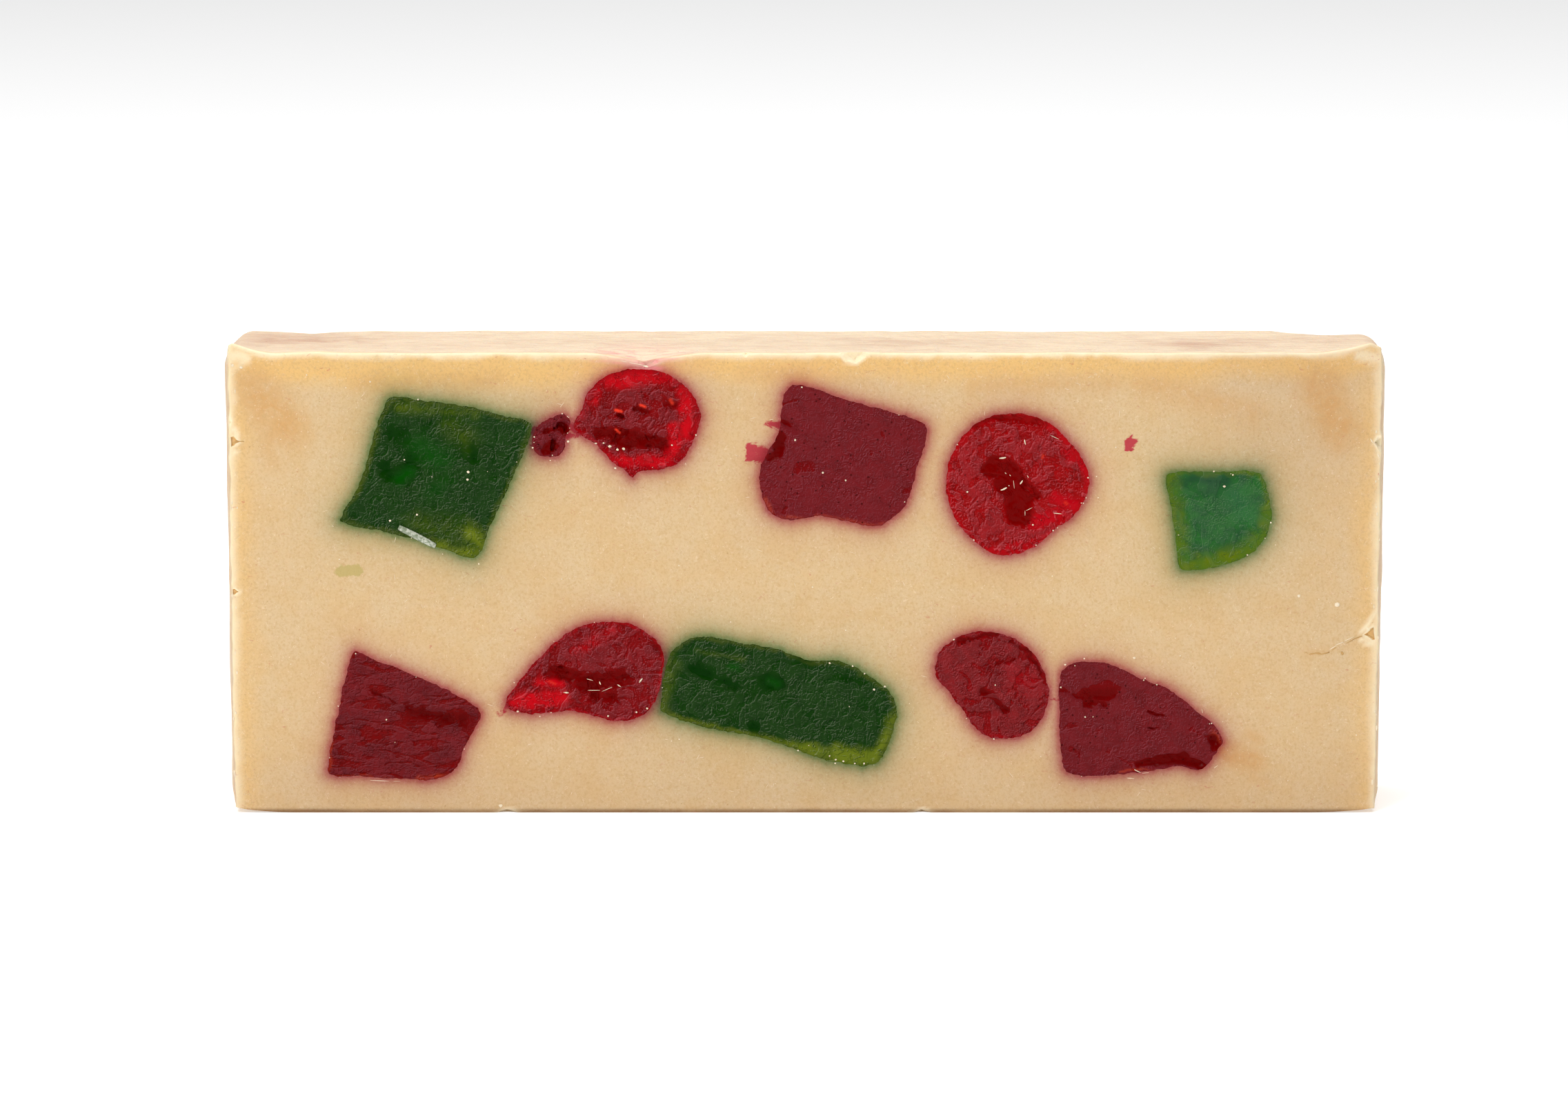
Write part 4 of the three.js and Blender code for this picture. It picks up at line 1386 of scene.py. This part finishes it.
@dataclass
class Crumbs:
    """Pale crumbs and short hairs of almond on the front cut, some of them along the rims of the fruit, with
    pale flecks that are painted glints and brown flecks that are painted shade in the cracks.
    """

    seed: int = 7
    by_fruit: int = 60
    elsewhere: int = 70
    by_rim: int = 36
    hairs: int = 220
    smallest: float = 0.05
    largest: float = 0.12
    rim_largest: float = 0.14
    rim_length: float = 0.5
    scatter: float = 0.25
    hair: float = 0.028
    hair_halves: tuple[float, float] = (0.1, 0.42)
    hair_clear: float = 0.4
    levels: tuple[float, float] = (2, 58)
    crumb_side: float = 73
    hair_side: float = 72
    rim_sides: tuple[float, float] = (73.8, 74.8)
    # Larger crumbs; the ones at (2.3, 44.9) and (9.0, 16.3) are painted glints.
    big: tuple[Triple, ...] = (
        (69.3, 27.5, 0.34), (64.3, 28.7, 0.22), (42.9, 20.5, 0.2), (-39.8, 0.9, 0.25), (-74.3, 59.0, 0.2),
        (-73.2, 58.7, 0.2), (-30.8, 49.0, 0.16), (-27.2, 48.75, 0.12), (-26.2, 48.8, 0.11),
        (-25.4, 48.35, 0.2), (-24.4, 47.95, 0.18), (-23.6, 48.05, 0.2), (-24.7, 45.5, 0.14),
        (-37.5, 13.4, 0.15), (-20.6, 13.8, 0.14), (-22.0, 13.3, 0.12), (-25.7, 12.8, 0.12),
        (2.3, 44.9, 0.13), (-1.3, 49.2, 0.12), (33.9, 19.6, 0.15), (36.4, 20.4, 0.12), (-43.8, 45.0, 0.17),
        (-43.9, 44.0, 0.14), (-50.5, 39.4, 0.14), (-54.0, 38.6, 0.14), (-52.1, 46.6, 0.1),
        (3.2, 19.8, 0.12), (6.2, 19.4, 0.12), (9.0, 16.3, 0.14), (10.4, 16.7, 0.14), (3.2, 7.5, 0.1),
        (4.0, 7.0, 0.12), (5.0, 6.8, 0.12), (6.5, 6.5, 0.11), (7.7, 6.5, 0.11), (54.5, 43.1, 0.17),
    )
    # Pale flecks: most are painted glints on the wet fruit and on the top rim, the rest are crumbs of almond.
    glint_and_crumb_slivers: tuple[Stroke, ...] = (
        (25.3, 46.8, 26.1, 46.9, 0.1), (28.5, 49.2, 28.6, 48.7, 0.08), (25.5, 42.6, 26.1, 42.9, 0.11),
        (28.0, 43.5, 28.2, 43.8, 0.1), (27.1, 43.8, 27.2, 42.8, 0.035), (32.4, 39.6, 33.3, 39.5, 0.05),
        (31.9, 49.8, 33.0, 49.3, 0.03), (28.7, 39.9, 29.5, 40.3, 0.035), (28.6, 39.9, 28.6, 39.3, 0.035),
        (26.0, 44.9, 26.1, 44.8, 0.05), (26.6, 44.6, 26.7, 44.5, 0.05), (28.9, 44.5, 29.0, 44.3, 0.05),
        (-28.4, 17.7, -27.7, 17.5, 0.05), (-26.8, 17.3, -26.7, 17.0, 0.08), (-21.6, 17.3, -21.3, 17.7, 0.1),
        (-31.4, 15.9, -30.9, 15.9, 0.09), (-24.4, 16.9, -24.1, 16.7, 0.07),
        (-28.2, 16.2, -26.8, 16.2, 0.035), (-26.4, 16.1, -25.2, 16.6, 0.035),
        (71.5, 23.3, 70.3, 22.7, 0.05), (70.2, 22.6, 69.2, 22.2, 0.07), (69.2, 22.1, 68.4, 21.6, 0.07),
        (-61.0, 4.7, -57.5, 4.5, 0.04), (-57.5, 4.3, -52.5, 4.1, 0.04), (43.0, 5.7, 43.8, 5.3, 0.05),
        (44.0, 5.2, 46.0, 5.4, 0.04), (42.0, 4.6, 43.0, 4.5, 0.06), (53.4, 5.9, 54.0, 6.3, 0.05),
        (-24.0, 59.6, -21.0, 59.0, 0.05), (-20.9, 58.9, -20.4, 58.8, 0.12), (74.4, 47.4, 74.6, 46.9, 0.1),
        (73.5, 49.3, 73.7, 48.9, 0.1),
    )
    # Brown flecks along the cracks: painted shade in them.
    creases: tuple[Stroke, ...] = (
        (72.6, 23.4, 71.6, 23.0, 0.07), (71.6, 23.0, 70.5, 22.4, 0.06), (69.2, 21.9, 68.7, 21.5, 0.1),
        (68.3, 21.25, 67.4, 21.0, 0.14), (67.3, 21.0, 66.5, 21.15, 0.17), (66.4, 21.1, 65.8, 20.95, 0.14),
        (65.6, 21.1, 65.0, 21.3, 0.08), (70.0, 21.2, 70.1, 21.0, 0.17), (-74.0, 49.05, -72.9, 49.0, 0.06),
    )
    colour: Colour = (0.90, 0.80, 0.64)
    shaded: Colour = (0.80, 0.64, 0.42)
    # Painted shade of the cracks.
    crease: Colour = (0.540, 0.320, 0.120)

    def build(self, lofts: dict[str, Loft]) -> bpy.types.Object:
        """Scatters the crumbs.

        Args:
            lofts: the fruit whose rims they lie along.

        Returns:
            One piece with all the crumbs.
        """
        draw = np.random.default_rng(self.seed)
        flecks = [(x, z, x, z, radius) for x, z, radius in self.big] + list(self.glint_and_crumb_slivers)
        rings = [loft.at(FRONT) for loft in lofts.values()]
        for _ in range(self.by_fruit):
            ring = rings[draw.integers(len(rings))]
            x, z = ring[draw.integers(len(ring))] + draw.normal(0.0, self.scatter, 2)
            flecks.append((x, z, x, z, draw.uniform(self.smallest, self.largest)))
        for _ in range(self.elsewhere):
            x, z = draw.uniform(-self.crumb_side, self.crumb_side), draw.uniform(*self.levels)
            flecks.append((x, z, x, z, draw.uniform(self.smallest, self.largest)))
        for _ in range(self.by_rim):
            x, z = draw.choice([-1.0, 1.0]) * draw.uniform(*self.rim_sides), draw.uniform(*self.levels)
            top = z + draw.uniform(0.0, self.rim_length)
            flecks.append((x, z, x, top, draw.uniform(self.smallest, self.rim_largest)))
        spans = ((-self.hair_side, self.hair_side), self.levels)
        middles = np.stack([draw.uniform(low, high, self.hairs) for low, high in spans], axis=1)
        turns, halves = draw.uniform(0, math.pi, self.hairs), draw.uniform(*self.hair_halves, self.hairs)
        steps = halves[:, None] * np.stack([np.cos(turns), np.sin(turns)], axis=1)
        on_paste = np.min([signed_distance(middles, ring) for ring in rings], axis=0) > self.hair_clear
        for middle, step in zip(middles[on_paste], steps[on_paste]):
            flecks.append((*(middle - step), *(middle + step), self.hair))
        points, faces, crack_shade = [], [], []
        corner, sides = self._fleck()
        for number, (x0, z0, x1, z1, radius) in enumerate([*flecks, *self.creases]):
            start = len(points) * len(corner)
            along = np.array([x1 - x0, 0.0, z1 - z0])
            length = float(np.linalg.norm(along))
            ahead = along / length if length else np.array([1.0, 0.0, 0.0])
            axes = np.array([ahead * (length / 2 + radius), [0.0, 0.6 * radius, 0.0],
                             np.array([-ahead[2], 0.0, ahead[0]]) * radius])
            middle = np.array([(x0 + x1) / 2, FRONT + 0.1 * radius, (z0 + z1) / 2])
            points.append((corner * draw.uniform(0.75, 1.25, (len(corner), 1))) @ axes + middle)
            faces += [tuple(start + v for v in side) for side in sides]
            crack_shade += [float(number >= len(flecks))] * len(corner)
        g = Graph("almond_crumb")
        colour = g.mix(g.noise(0.5), self.colour, self.shaded)
        # Painted shade in the cracks.
        colour = g.mix(g.attribute("crack_shade"), colour, self.crease)
        material = g.finish({"Roughness": 0.5, "Specular IOR Level": 0.15}, colour=colour)
        marks = {"crack_shade": np.array(crack_shade)}
        return new_piece("almond_crumbs", np.vstack(points), faces, material, marks)

    @staticmethod
    def _fleck() -> tuple[np.ndarray, list[tuple[int, ...]]]:
        """The points and faces of one round-ended fleck along X, 2 long and 2 wide."""
        around = 6
        points = [(-1.0, 0.0, 0.0)]
        for along, across in ((-0.78, 0.66), (0.0, 1.0), (0.78, 0.66)):
            for k in range(around):
                turn = 2 * math.pi * k / around
                points.append((along, across * math.sin(turn), across * math.cos(turn)))
        points.append((1.0, 0.0, 0.0))
        faces = []
        for k in range(around):
            after = (k + 1) % around
            faces.append((0, 1 + after, 1 + k))
            for ring in (1, 1 + around):
                faces.append((ring + k, ring + after, ring + around + after, ring + around + k))
            faces.append((1 + 2 * around + k, 1 + 2 * around + after, len(points) - 1))
        return np.array(points), faces


@dataclass
class SyrupStrip:
    """A sliver of set syrup along the lower edge of the slanted green piece."""

    start: tuple[float, float] = (-52.9, 37.75)
    end: tuple[float, float] = (-48.1, 35.25)
    width: float = 0.85
    height: float = 0.3
    steps: int = 24
    across: int = 8
    proud: float = 0.02
    dull: Colour = (0.20, 0.24, 0.15)
    bright: Colour = (0.50, 0.52, 0.42)

    def build(self) -> bpy.types.Object:
        """Makes the sliver as a low rounded bead."""
        a, b = np.array(self.start), np.array(self.end)
        along = (b - a) / np.linalg.norm(b - a)
        side = np.array([-along[1], along[0]])
        points, faces = [], []
        for k in range(self.steps + 1):
            share = k / self.steps
            taper = math.sin(math.pi * min(max(share, 0.02), 0.98)) ** 0.12
            for j in range(self.across):
                turn = 2 * math.pi * j / self.across
                flat = a + (b - a) * share + side * (self.width / 2 * taper * math.cos(turn))
                rise = self.height * taper * math.sin(turn) * 0.5
                points.append((flat[0], FRONT - self.proud - rise, flat[1]))
        n = self.across
        for low in range(0, self.steps * n, n):
            faces += [(low + j, low + (j + 1) % n, low + n + (j + 1) % n, low + n + j) for j in range(n)]
        faces += [tuple(reversed(range(n))), tuple(self.steps * n + j for j in range(n))]
        g = Graph("set_syrup")
        colour = g.mix(g.noise(0.5, 2.0, 0.6).steps(0.4, 0.62), self.dull, self.bright)
        fixed = {"Roughness": 0.12, "Coat Weight": 0.5, "Coat Roughness": 0.05}
        material = g.finish(fixed, colour=colour, normal=g.bump(g.noise(0.6, 2.0), 0.06))
        return new_piece("syrup_sliver", np.array(points), faces, material)


@dataclass
class Studio:
    """The pale floor, the soft lights and the camera: the floor and the lights are in metres."""

    focal: float = 221.73
    sensor: float = 36.0
    pitch: float = 8.9486
    camera_at: Triple = (-2.751, -1252.93, 228.98)
    clip_end: float = 50.0
    floor_side: float = 12.0
    floor_white: float = 0.9
    floor_glow: float = 0.33
    sky: float = 0.18
    aim: Triple = (0.0, 0.0, 0.03)
    overhead: float = 14.4
    overhead_at: Triple = (0.0, 0.05, 1.1)
    overhead_side: float = 1.2
    key: float = 6.0
    key_at: Triple = (-0.45, -0.85, 0.8)
    key_side: float = 0.4

    def build(self) -> None:
        """Makes the camera, the floor and the lights."""
        scene = bpy.context.scene
        scene.view_settings.view_transform = "Standard"
        lens = bpy.data.cameras.new("camera")
        lens.lens, lens.sensor_width, lens.clip_end = self.focal, self.sensor, self.clip_end
        camera = bpy.data.objects.new("camera", lens)
        camera.location = [c * MM for c in self.camera_at]
        camera.rotation_euler = (math.radians(90.0 - self.pitch), 0.0, 0.0)
        scene.collection.objects.link(camera)
        scene.camera = camera
        self._floor()
        self._sky()
        self._softbox("overhead", self.overhead_at, self.overhead_side, self.overhead)
        self._softbox("key", self.key_at, self.key_side, self.key)

    def _floor(self) -> None:
        """A wide white floor that also glows a little, so that it stays white round the bar."""
        mesh = bpy.data.meshes.new("floor")
        s = self.floor_side / 2
        mesh.from_pydata([(-s, -s, 0), (s, -s, 0), (s, s, 0), (-s, s, 0)], [], [(0, 1, 2, 3)])
        floor = bpy.data.objects.new("floor", mesh)
        bpy.context.scene.collection.objects.link(floor)
        g = Graph("floor_white")
        white = self.floor_white
        fixed = {"Base Color": (white, white, white, 1.0), "Roughness": 0.9, "Specular IOR Level": 0.1,
                 "Emission Color": (1.0, 1.0, 1.0, 1.0), "Emission Strength": self.floor_glow}
        mesh.materials.append(g.finish(fixed))

    def _sky(self) -> None:
        """Even light from all round."""
        world = bpy.data.worlds.new("sky")
        world.use_nodes = True
        back = world.node_tree.nodes["Background"]
        back.inputs["Color"].default_value = (1.0, 1.0, 1.0, 1.0)
        back.inputs["Strength"].default_value = self.sky
        bpy.context.scene.world = world

    def _softbox(self, name: str, at: Triple, side: float, power: float) -> None:
        """One square soft light that faces the bar.

        Args:
            name: its name.
            at: its place, in metres.
            side: its side, in metres.
            power: its power in watts.
        """
        data = bpy.data.lights.new(name, "AREA")
        data.shape, data.size, data.energy = "SQUARE", side, power
        lamp = bpy.data.objects.new(name, data)
        lamp.location = at
        facing = np.array(self.aim) - np.array(at)
        tilt = math.atan2(math.hypot(facing[0], facing[1]), -facing[2])
        lamp.rotation_euler = (tilt, 0.0, math.atan2(facing[1], facing[0]) - math.pi / 2)
        bpy.context.scene.collection.objects.link(lamp)


FRUIT: tuple[FruitPiece, ...] = (
    FruitPiece(
        "green_fruit_rhombus", Flesh.GREEN, 101, crease=0.14, hollow=0.15, rim_width=0.8, rim_strength=0.45,
        wet=(Mark(-54.7, 45.6, -54.3, 44.9, 0.8, 1.6, 0.8), Mark(-52.6, 44.2, -51.0, 46.8, 0.9, 1.8, 0.7),
             Mark(-53.6, 50.2, -52.6, 49.6, 0.9, 2.0, 0.5), Mark(-43.2, 48.2, -42.8, 46.5, 0.5, 1.6, 0.7)),
        glow=(Mark(-49.0, 34.7, -43.4, 34.4, 0.9, 3.4, 0.95), Mark(-43.8, 37.0, -42.0, 35.2, 0.9, 3.0, 0.8),
              Mark(-53.0, 53.6, -43.0, 52.6, 0.4, 2.6, 0.4), Mark(-58.6, 42.0, -55.6, 50.4, 0.1, 2.0, 0.4),
              Mark(-46.0, 51.0, -44.0, 49.4, 1.0, 4.0, 0.22), Mark(-50.5, 38.0, -45.0, 37.4, 1.2, 4.0, 0.2)),
        gleam=(Mark(-50.0, 48.2, -47.6, 46.6, 1.4, 3.4, 0.5), Mark(-52.8, 44.0, -51.4, 45.0, 0.7, 1.8, 0.6),
               Mark(-48.2, 42.6, -46.6, 44.0, 0.9, 3.0, 0.3)),
    ),
    FruitPiece(
        "red_fruit_scrap", Flesh.MAROON, 111, crease=0.4, crease_size=1.0, hollow=0.3, rings=22, around=120,
        wet=(Mark(-33.4, 47.9, -33.0, 48.4, 0.7, 0.8), Mark(-31.8, 50.9, -31.0, 50.4, 0.6, 0.6),
             Mark(-33.8, 50.4, -32.6, 50.3, 0.3, 0.4)),
    ),
    FruitPiece(
        "cherry_upper_left", Flesh.DARK_CHERRY, 121, hollow=0.3, crease=0.16, crease_size=1.6, rim_width=1.0,
        wet=(Mark(-26.8, 50.2, -22.5, 49.8, 0.7, 1.0), Mark(-24.4, 49.3, -18.6, 48.8, 0.9, 1.2),
             Mark(-22.0, 53.2, -20.6, 52.8, 0.3, 0.6), Mark(-24.2, 52.5, -23.9, 52.2, 0.3, 0.5),
             Mark(-18.2, 54.1, -17.0, 53.8, 0.5, 0.8, 0.7)),
        glow=(Mark(-26.5, 57.2, -17.5, 57.8, 1.2, 1.8, 0.95), Mark(-27.4, 54.4, -26.6, 56.4, 0.4, 1.2, 0.8),
              Mark(-15.8, 55.4, -15.2, 50.0, 0.9, 1.6, 0.9), Mark(-16.9, 50.6, -17.4, 47.4, 0.9, 1.4),
              Mark(-24.8, 46.4, -17.6, 46.2, 0.8, 1.2), Mark(-26.0, 47.6, -25.0, 46.4, 0.5, 0.9, 0.9)),
        gleam=(Mark(-24.6, 53.1, -23.9, 52.95, 0.15, 0.35), Mark(-21.4, 53.75, -20.8, 53.55, 0.13, 0.35),
               Mark(-17.5, 54.4, -17.3, 54.0, 0.2, 0.4, 0.5), Mark(-24.6, 50.6, -24.1, 50.1, 0.1, 0.3, 0.9)),
    ),
    FruitPiece(
        "red_cube_upper", Flesh.MAROON, 131, crease=0.05, hollow=0.35, rim_width=0.3, drift=0.4,
        wet=(Mark(-3.1, 49.6, -3.6, 47.6, 0.65, 0.5, 0.9), Mark(-4.6, 46.9, -4.0, 47.4, 0.4, 0.4, 0.8),
             Mark(-2.6, 51.5, -1.4, 50.9, 0.4, 1.2, 0.7)),
        glow=(Mark(-5.2, 41.6, -4.2, 39.4, 0.25, 0.7, 0.6), Mark(-4.0, 39.0, 1.4, 38.9, 0.15, 0.6, 0.5),
              Mark(1.4, 39.3, 4.6, 39.0, 0.15, 0.6, 0.6), Mark(4.6, 38.8, 7.4, 38.0, 0.25, 0.8, 0.7),
              Mark(7.4, 37.9, 11.2, 38.3, 0.15, 0.5, 0.5)),
    ),
    FruitPiece(
        "cherry_upper_right", Flesh.CHERRY, 141, hollow=0.4, crease=0.14, crease_size=2.0, rim_width=0.9,
        wet=(Mark(24.6, 45.6, 26.6, 44.8, 1.5, 1.1), Mark(26.3, 43.8, 28.0, 42.0, 1.8, 1.1),
             Mark(27.6, 41.0, 28.0, 39.4, 1.6, 1.4), Mark(29.4, 42.6, 30.2, 41.6, 0.4, 0.7),
             Mark(20.8, 50.2, 22.4, 51.4, 0.25, 0.8, 0.7), Mark(22.4, 51.5, 25.4, 52.2, 0.35, 0.9, 0.7),
             Mark(25.4, 52.3, 31.2, 51.7, 0.4, 1.0, 0.7)),
        glow=(Mark(31.8, 51.0, 34.4, 48.9, 0.6, 1.2, 0.7), Mark(34.0, 47.6, 34.6, 47.0, 0.8, 1.2, 0.7),
              Mark(35.6, 46.6, 36.8, 44.4, 0.5, 1.0), Mark(32.4, 41.6, 35.4, 40.4, 0.8, 1.2),
              Mark(29.4, 38.2, 33.0, 39.6, 0.9, 1.4), Mark(24.0, 34.6, 31.0, 36.2, 0.4, 1.2, 0.8)),
        gleam=(Mark(33.8, 41.0, 34.0, 40.8, 0.15, 0.4, 0.4), Mark(30.9, 47.2, 30.8, 46.8, 0.12, 0.25, 0.5)),
    ),
    FruitPiece(
        "green_fruit_small", Flesh.CLEAR_GREEN, 151, crease=0.04, hollow=0.1, rim_width=1.0, rim_strength=0.7,
        rings=34, around=200,
        wet=(Mark(49.8, 43.8, 54.6, 43.9, 0.8, 2.4, 0.7), Mark(51.6, 42.4, 53.6, 42.4, 0.6, 2.4, 0.5),
             Mark(54.0, 35.4, 57.2, 36.9, 0.5, 2.4, 0.35)),
        glow=(Mark(48.1, 44.0, 49.6, 33.4, 0.4, 2.4, 0.7), Mark(49.8, 32.8, 56.0, 34.0, 0.8, 3.0, 0.9),
              Mark(56.0, 34.2, 58.6, 36.0, 0.6, 2.8, 0.9), Mark(59.2, 36.6, 60.2, 41.5, 0.4, 2.0, 0.7)),
        gleam=(Mark(56.0, 41.8, 57.0, 39.6, 1.2, 3.0, 0.3),),
    ),
    FruitPiece(
        "red_cube_lower", Flesh.CRACKED_MAROON, 161, crease=0.08, crease_size=1.8, hollow=0.15, rim_width=0.3,
        wet=(Mark(-51.6, 13.3, -48.5, 12.9, 0.7, 2.0, 0.6), Mark(-48.0, 12.6, -44.6, 12.5, 0.8, 1.8, 0.8),
             Mark(-56.6, 16.4, -53.4, 14.6, 0.12, 0.35, 0.7)),
        glow=(Mark(-61.9, 10.0, -62.2, 5.4, 0.15, 0.5, 0.6), Mark(-61.5, 5.0, -54.0, 4.5, 0.1, 0.4, 0.4),
              Mark(-50.6, 4.3, -46.8, 4.8, 0.3, 0.8, 0.7)),
    ),
    FruitPiece(
        "cherry_lower_left", Flesh.DARK_CHERRY, 171, hollow=0.35, crease=0.14, crease_size=1.5, rim_width=0.6,
        wet=(Mark(-33.0, 18.6, -29.0, 18.0, 0.8, 1.0, 0.9), Mark(-29.0, 17.4, -23.6, 17.6, 1.1, 1.1, 0.9),
             Mark(-27.4, 15.6, -25.0, 15.3, 0.7, 1.1, 0.7), Mark(-20.0, 23.0, -18.6, 21.0, 0.3, 0.9, 0.6)),
        glow=(Mark(-37.4, 14.7, -31.8, 15.2, 1.0, 1.4), Mark(-34.6, 17.2, -32.0, 17.2, 0.6, 1.2, 0.8),
              Mark(-30.0, 21.4, -25.0, 24.0, 0.5, 1.6, 0.4)),
        gleam=(Mark(-33.4, 17.4, -32.6, 17.0, 0.1, 0.3, 0.4),),
    ),
    FruitPiece(
        "green_fruit_bar", Flesh.GREEN, 181, crease=0.1, hollow=0.15, rim_width=0.8, rim_strength=0.5,
        wet=(Mark(-14.4, 19.0, -12.6, 18.3, 0.8, 1.4, 0.8), Mark(-10.8, 17.6, -9.0, 16.9, 0.6, 1.4, 0.7),
             Mark(-5.0, 17.6, -3.4, 16.9, 0.85, 1.3, 0.9), Mark(-6.9, 11.7, -6.4, 11.2, 0.5, 1.0, 0.8),
             Mark(-0.8, 20.3, 0.8, 20.1, 0.5, 1.6, 0.6), Mark(5.0, 17.8, 7.4, 17.2, 0.3, 1.4, 0.5)),
        glow=(Mark(-18.3, 13.2, -8.0, 10.5, 0.15, 0.8, 0.7), Mark(-7.5, 10.1, -1.0, 8.6, 0.4, 1.4, 0.9),
              Mark(-1.0, 8.4, 4.0, 7.6, 0.8, 1.8), Mark(4.0, 7.6, 9.0, 7.2, 1.1, 2.0),
              Mark(10.0, 8.5, 11.6, 12.5, 0.5, 1.8),
              Mark(-18.6, 14.0, -17.4, 19.6, 0.6, 2.4, 0.35), Mark(-14.0, 21.4, -8.0, 20.4, 0.1, 1.4, 0.3)),
        gleam=(Mark(-9.6, 19.3, -9.0, 19.2, 0.4, 1.2, 0.6), Mark(-4.6, 17.4, -3.6, 17.0, 0.4, 1.4, 0.5)),
    ),
    FruitPiece(
        "cherry_lower_right", Flesh.DULL_CHERRY, 191, hollow=0.2, crease=0.1, crease_size=1.8, rim_width=0.5,
        wet=(Mark(23.0, 16.1, 24.6, 15.2, 0.5, 0.9, 0.8), Mark(24.8, 14.8, 26.2, 13.5, 0.4, 0.9, 0.8),
             Mark(20.2, 22.8, 25.0, 23.7, 0.25, 0.6, 0.8), Mark(27.0, 22.6, 29.2, 21.2, 0.25, 0.5, 0.8),
             Mark(29.4, 21.0, 31.3, 17.4, 0.25, 0.5, 0.8), Mark(24.8, 19.7, 27.4, 20.4, 0.12, 0.35, 0.7)),
        glow=(Mark(27.4, 18.8, 29.6, 16.6, 1.4, 2.4, 0.4), Mark(23.6, 10.0, 29.0, 10.2, 0.3, 0.9, 0.6)),
    ),
    FruitPiece(
        "red_fruit_wedge", Flesh.MAROON, 201, crease=0.06, hollow=0.4, rim_width=0.25, drift=0.4,
        wet=(Mark(33.6, 16.1, 36.4, 15.0, 0.3, 1.0, 0.6), Mark(36.6, 15.4, 40.2, 15.9, 0.8, 1.4, 0.62),
             Mark(36.8, 14.4, 39.0, 14.3, 0.4, 0.9, 0.65), Mark(43.6, 6.4, 46.0, 7.0, 0.4, 0.4),
             Mark(46.0, 6.9, 49.4, 7.2, 0.75, 0.4), Mark(49.4, 7.0, 52.0, 6.0, 0.5, 0.4),
             Mark(53.2, 9.8, 53.6, 8.8, 0.6, 0.5, 0.8), Mark(44.8, 13.3, 46.8, 12.7, 0.12, 0.3, 0.7),
             Mark(45.0, 11.3, 46.0, 11.2, 0.1, 0.25, 0.7)),
        glow=(Mark(41.2, 5.5, 45.5, 5.7, 0.12, 0.35, 0.6), Mark(53.2, 10.6, 54.0, 9.8, 0.4, 0.7, 0.4)),
    ),
)


def main() -> None:
    """Builds and dresses the bar, and sets up the studio."""
    logging.basicConfig(level=logging.INFO, format="%(message)s")
    Studio().build()
    flesh = {kind: kind.value.material() for kind in Flesh}
    for fruit in FRUIT:
        fruit.build(flesh[fruit.flesh])
    lofts = {fruit.node: fruit.loft for fruit in FRUIT}
    greens = tuple(name for name in lofts if name.startswith("green"))
    reds = tuple(name for name in lofts if name not in greens)
    NougatBody(reds=reds, greens=greens, lofts=lofts).build(PasteFinish().material())
    Crumbs().build(lofts)
    SyrupStrip().build()


if __name__ == "__main__":
    main()
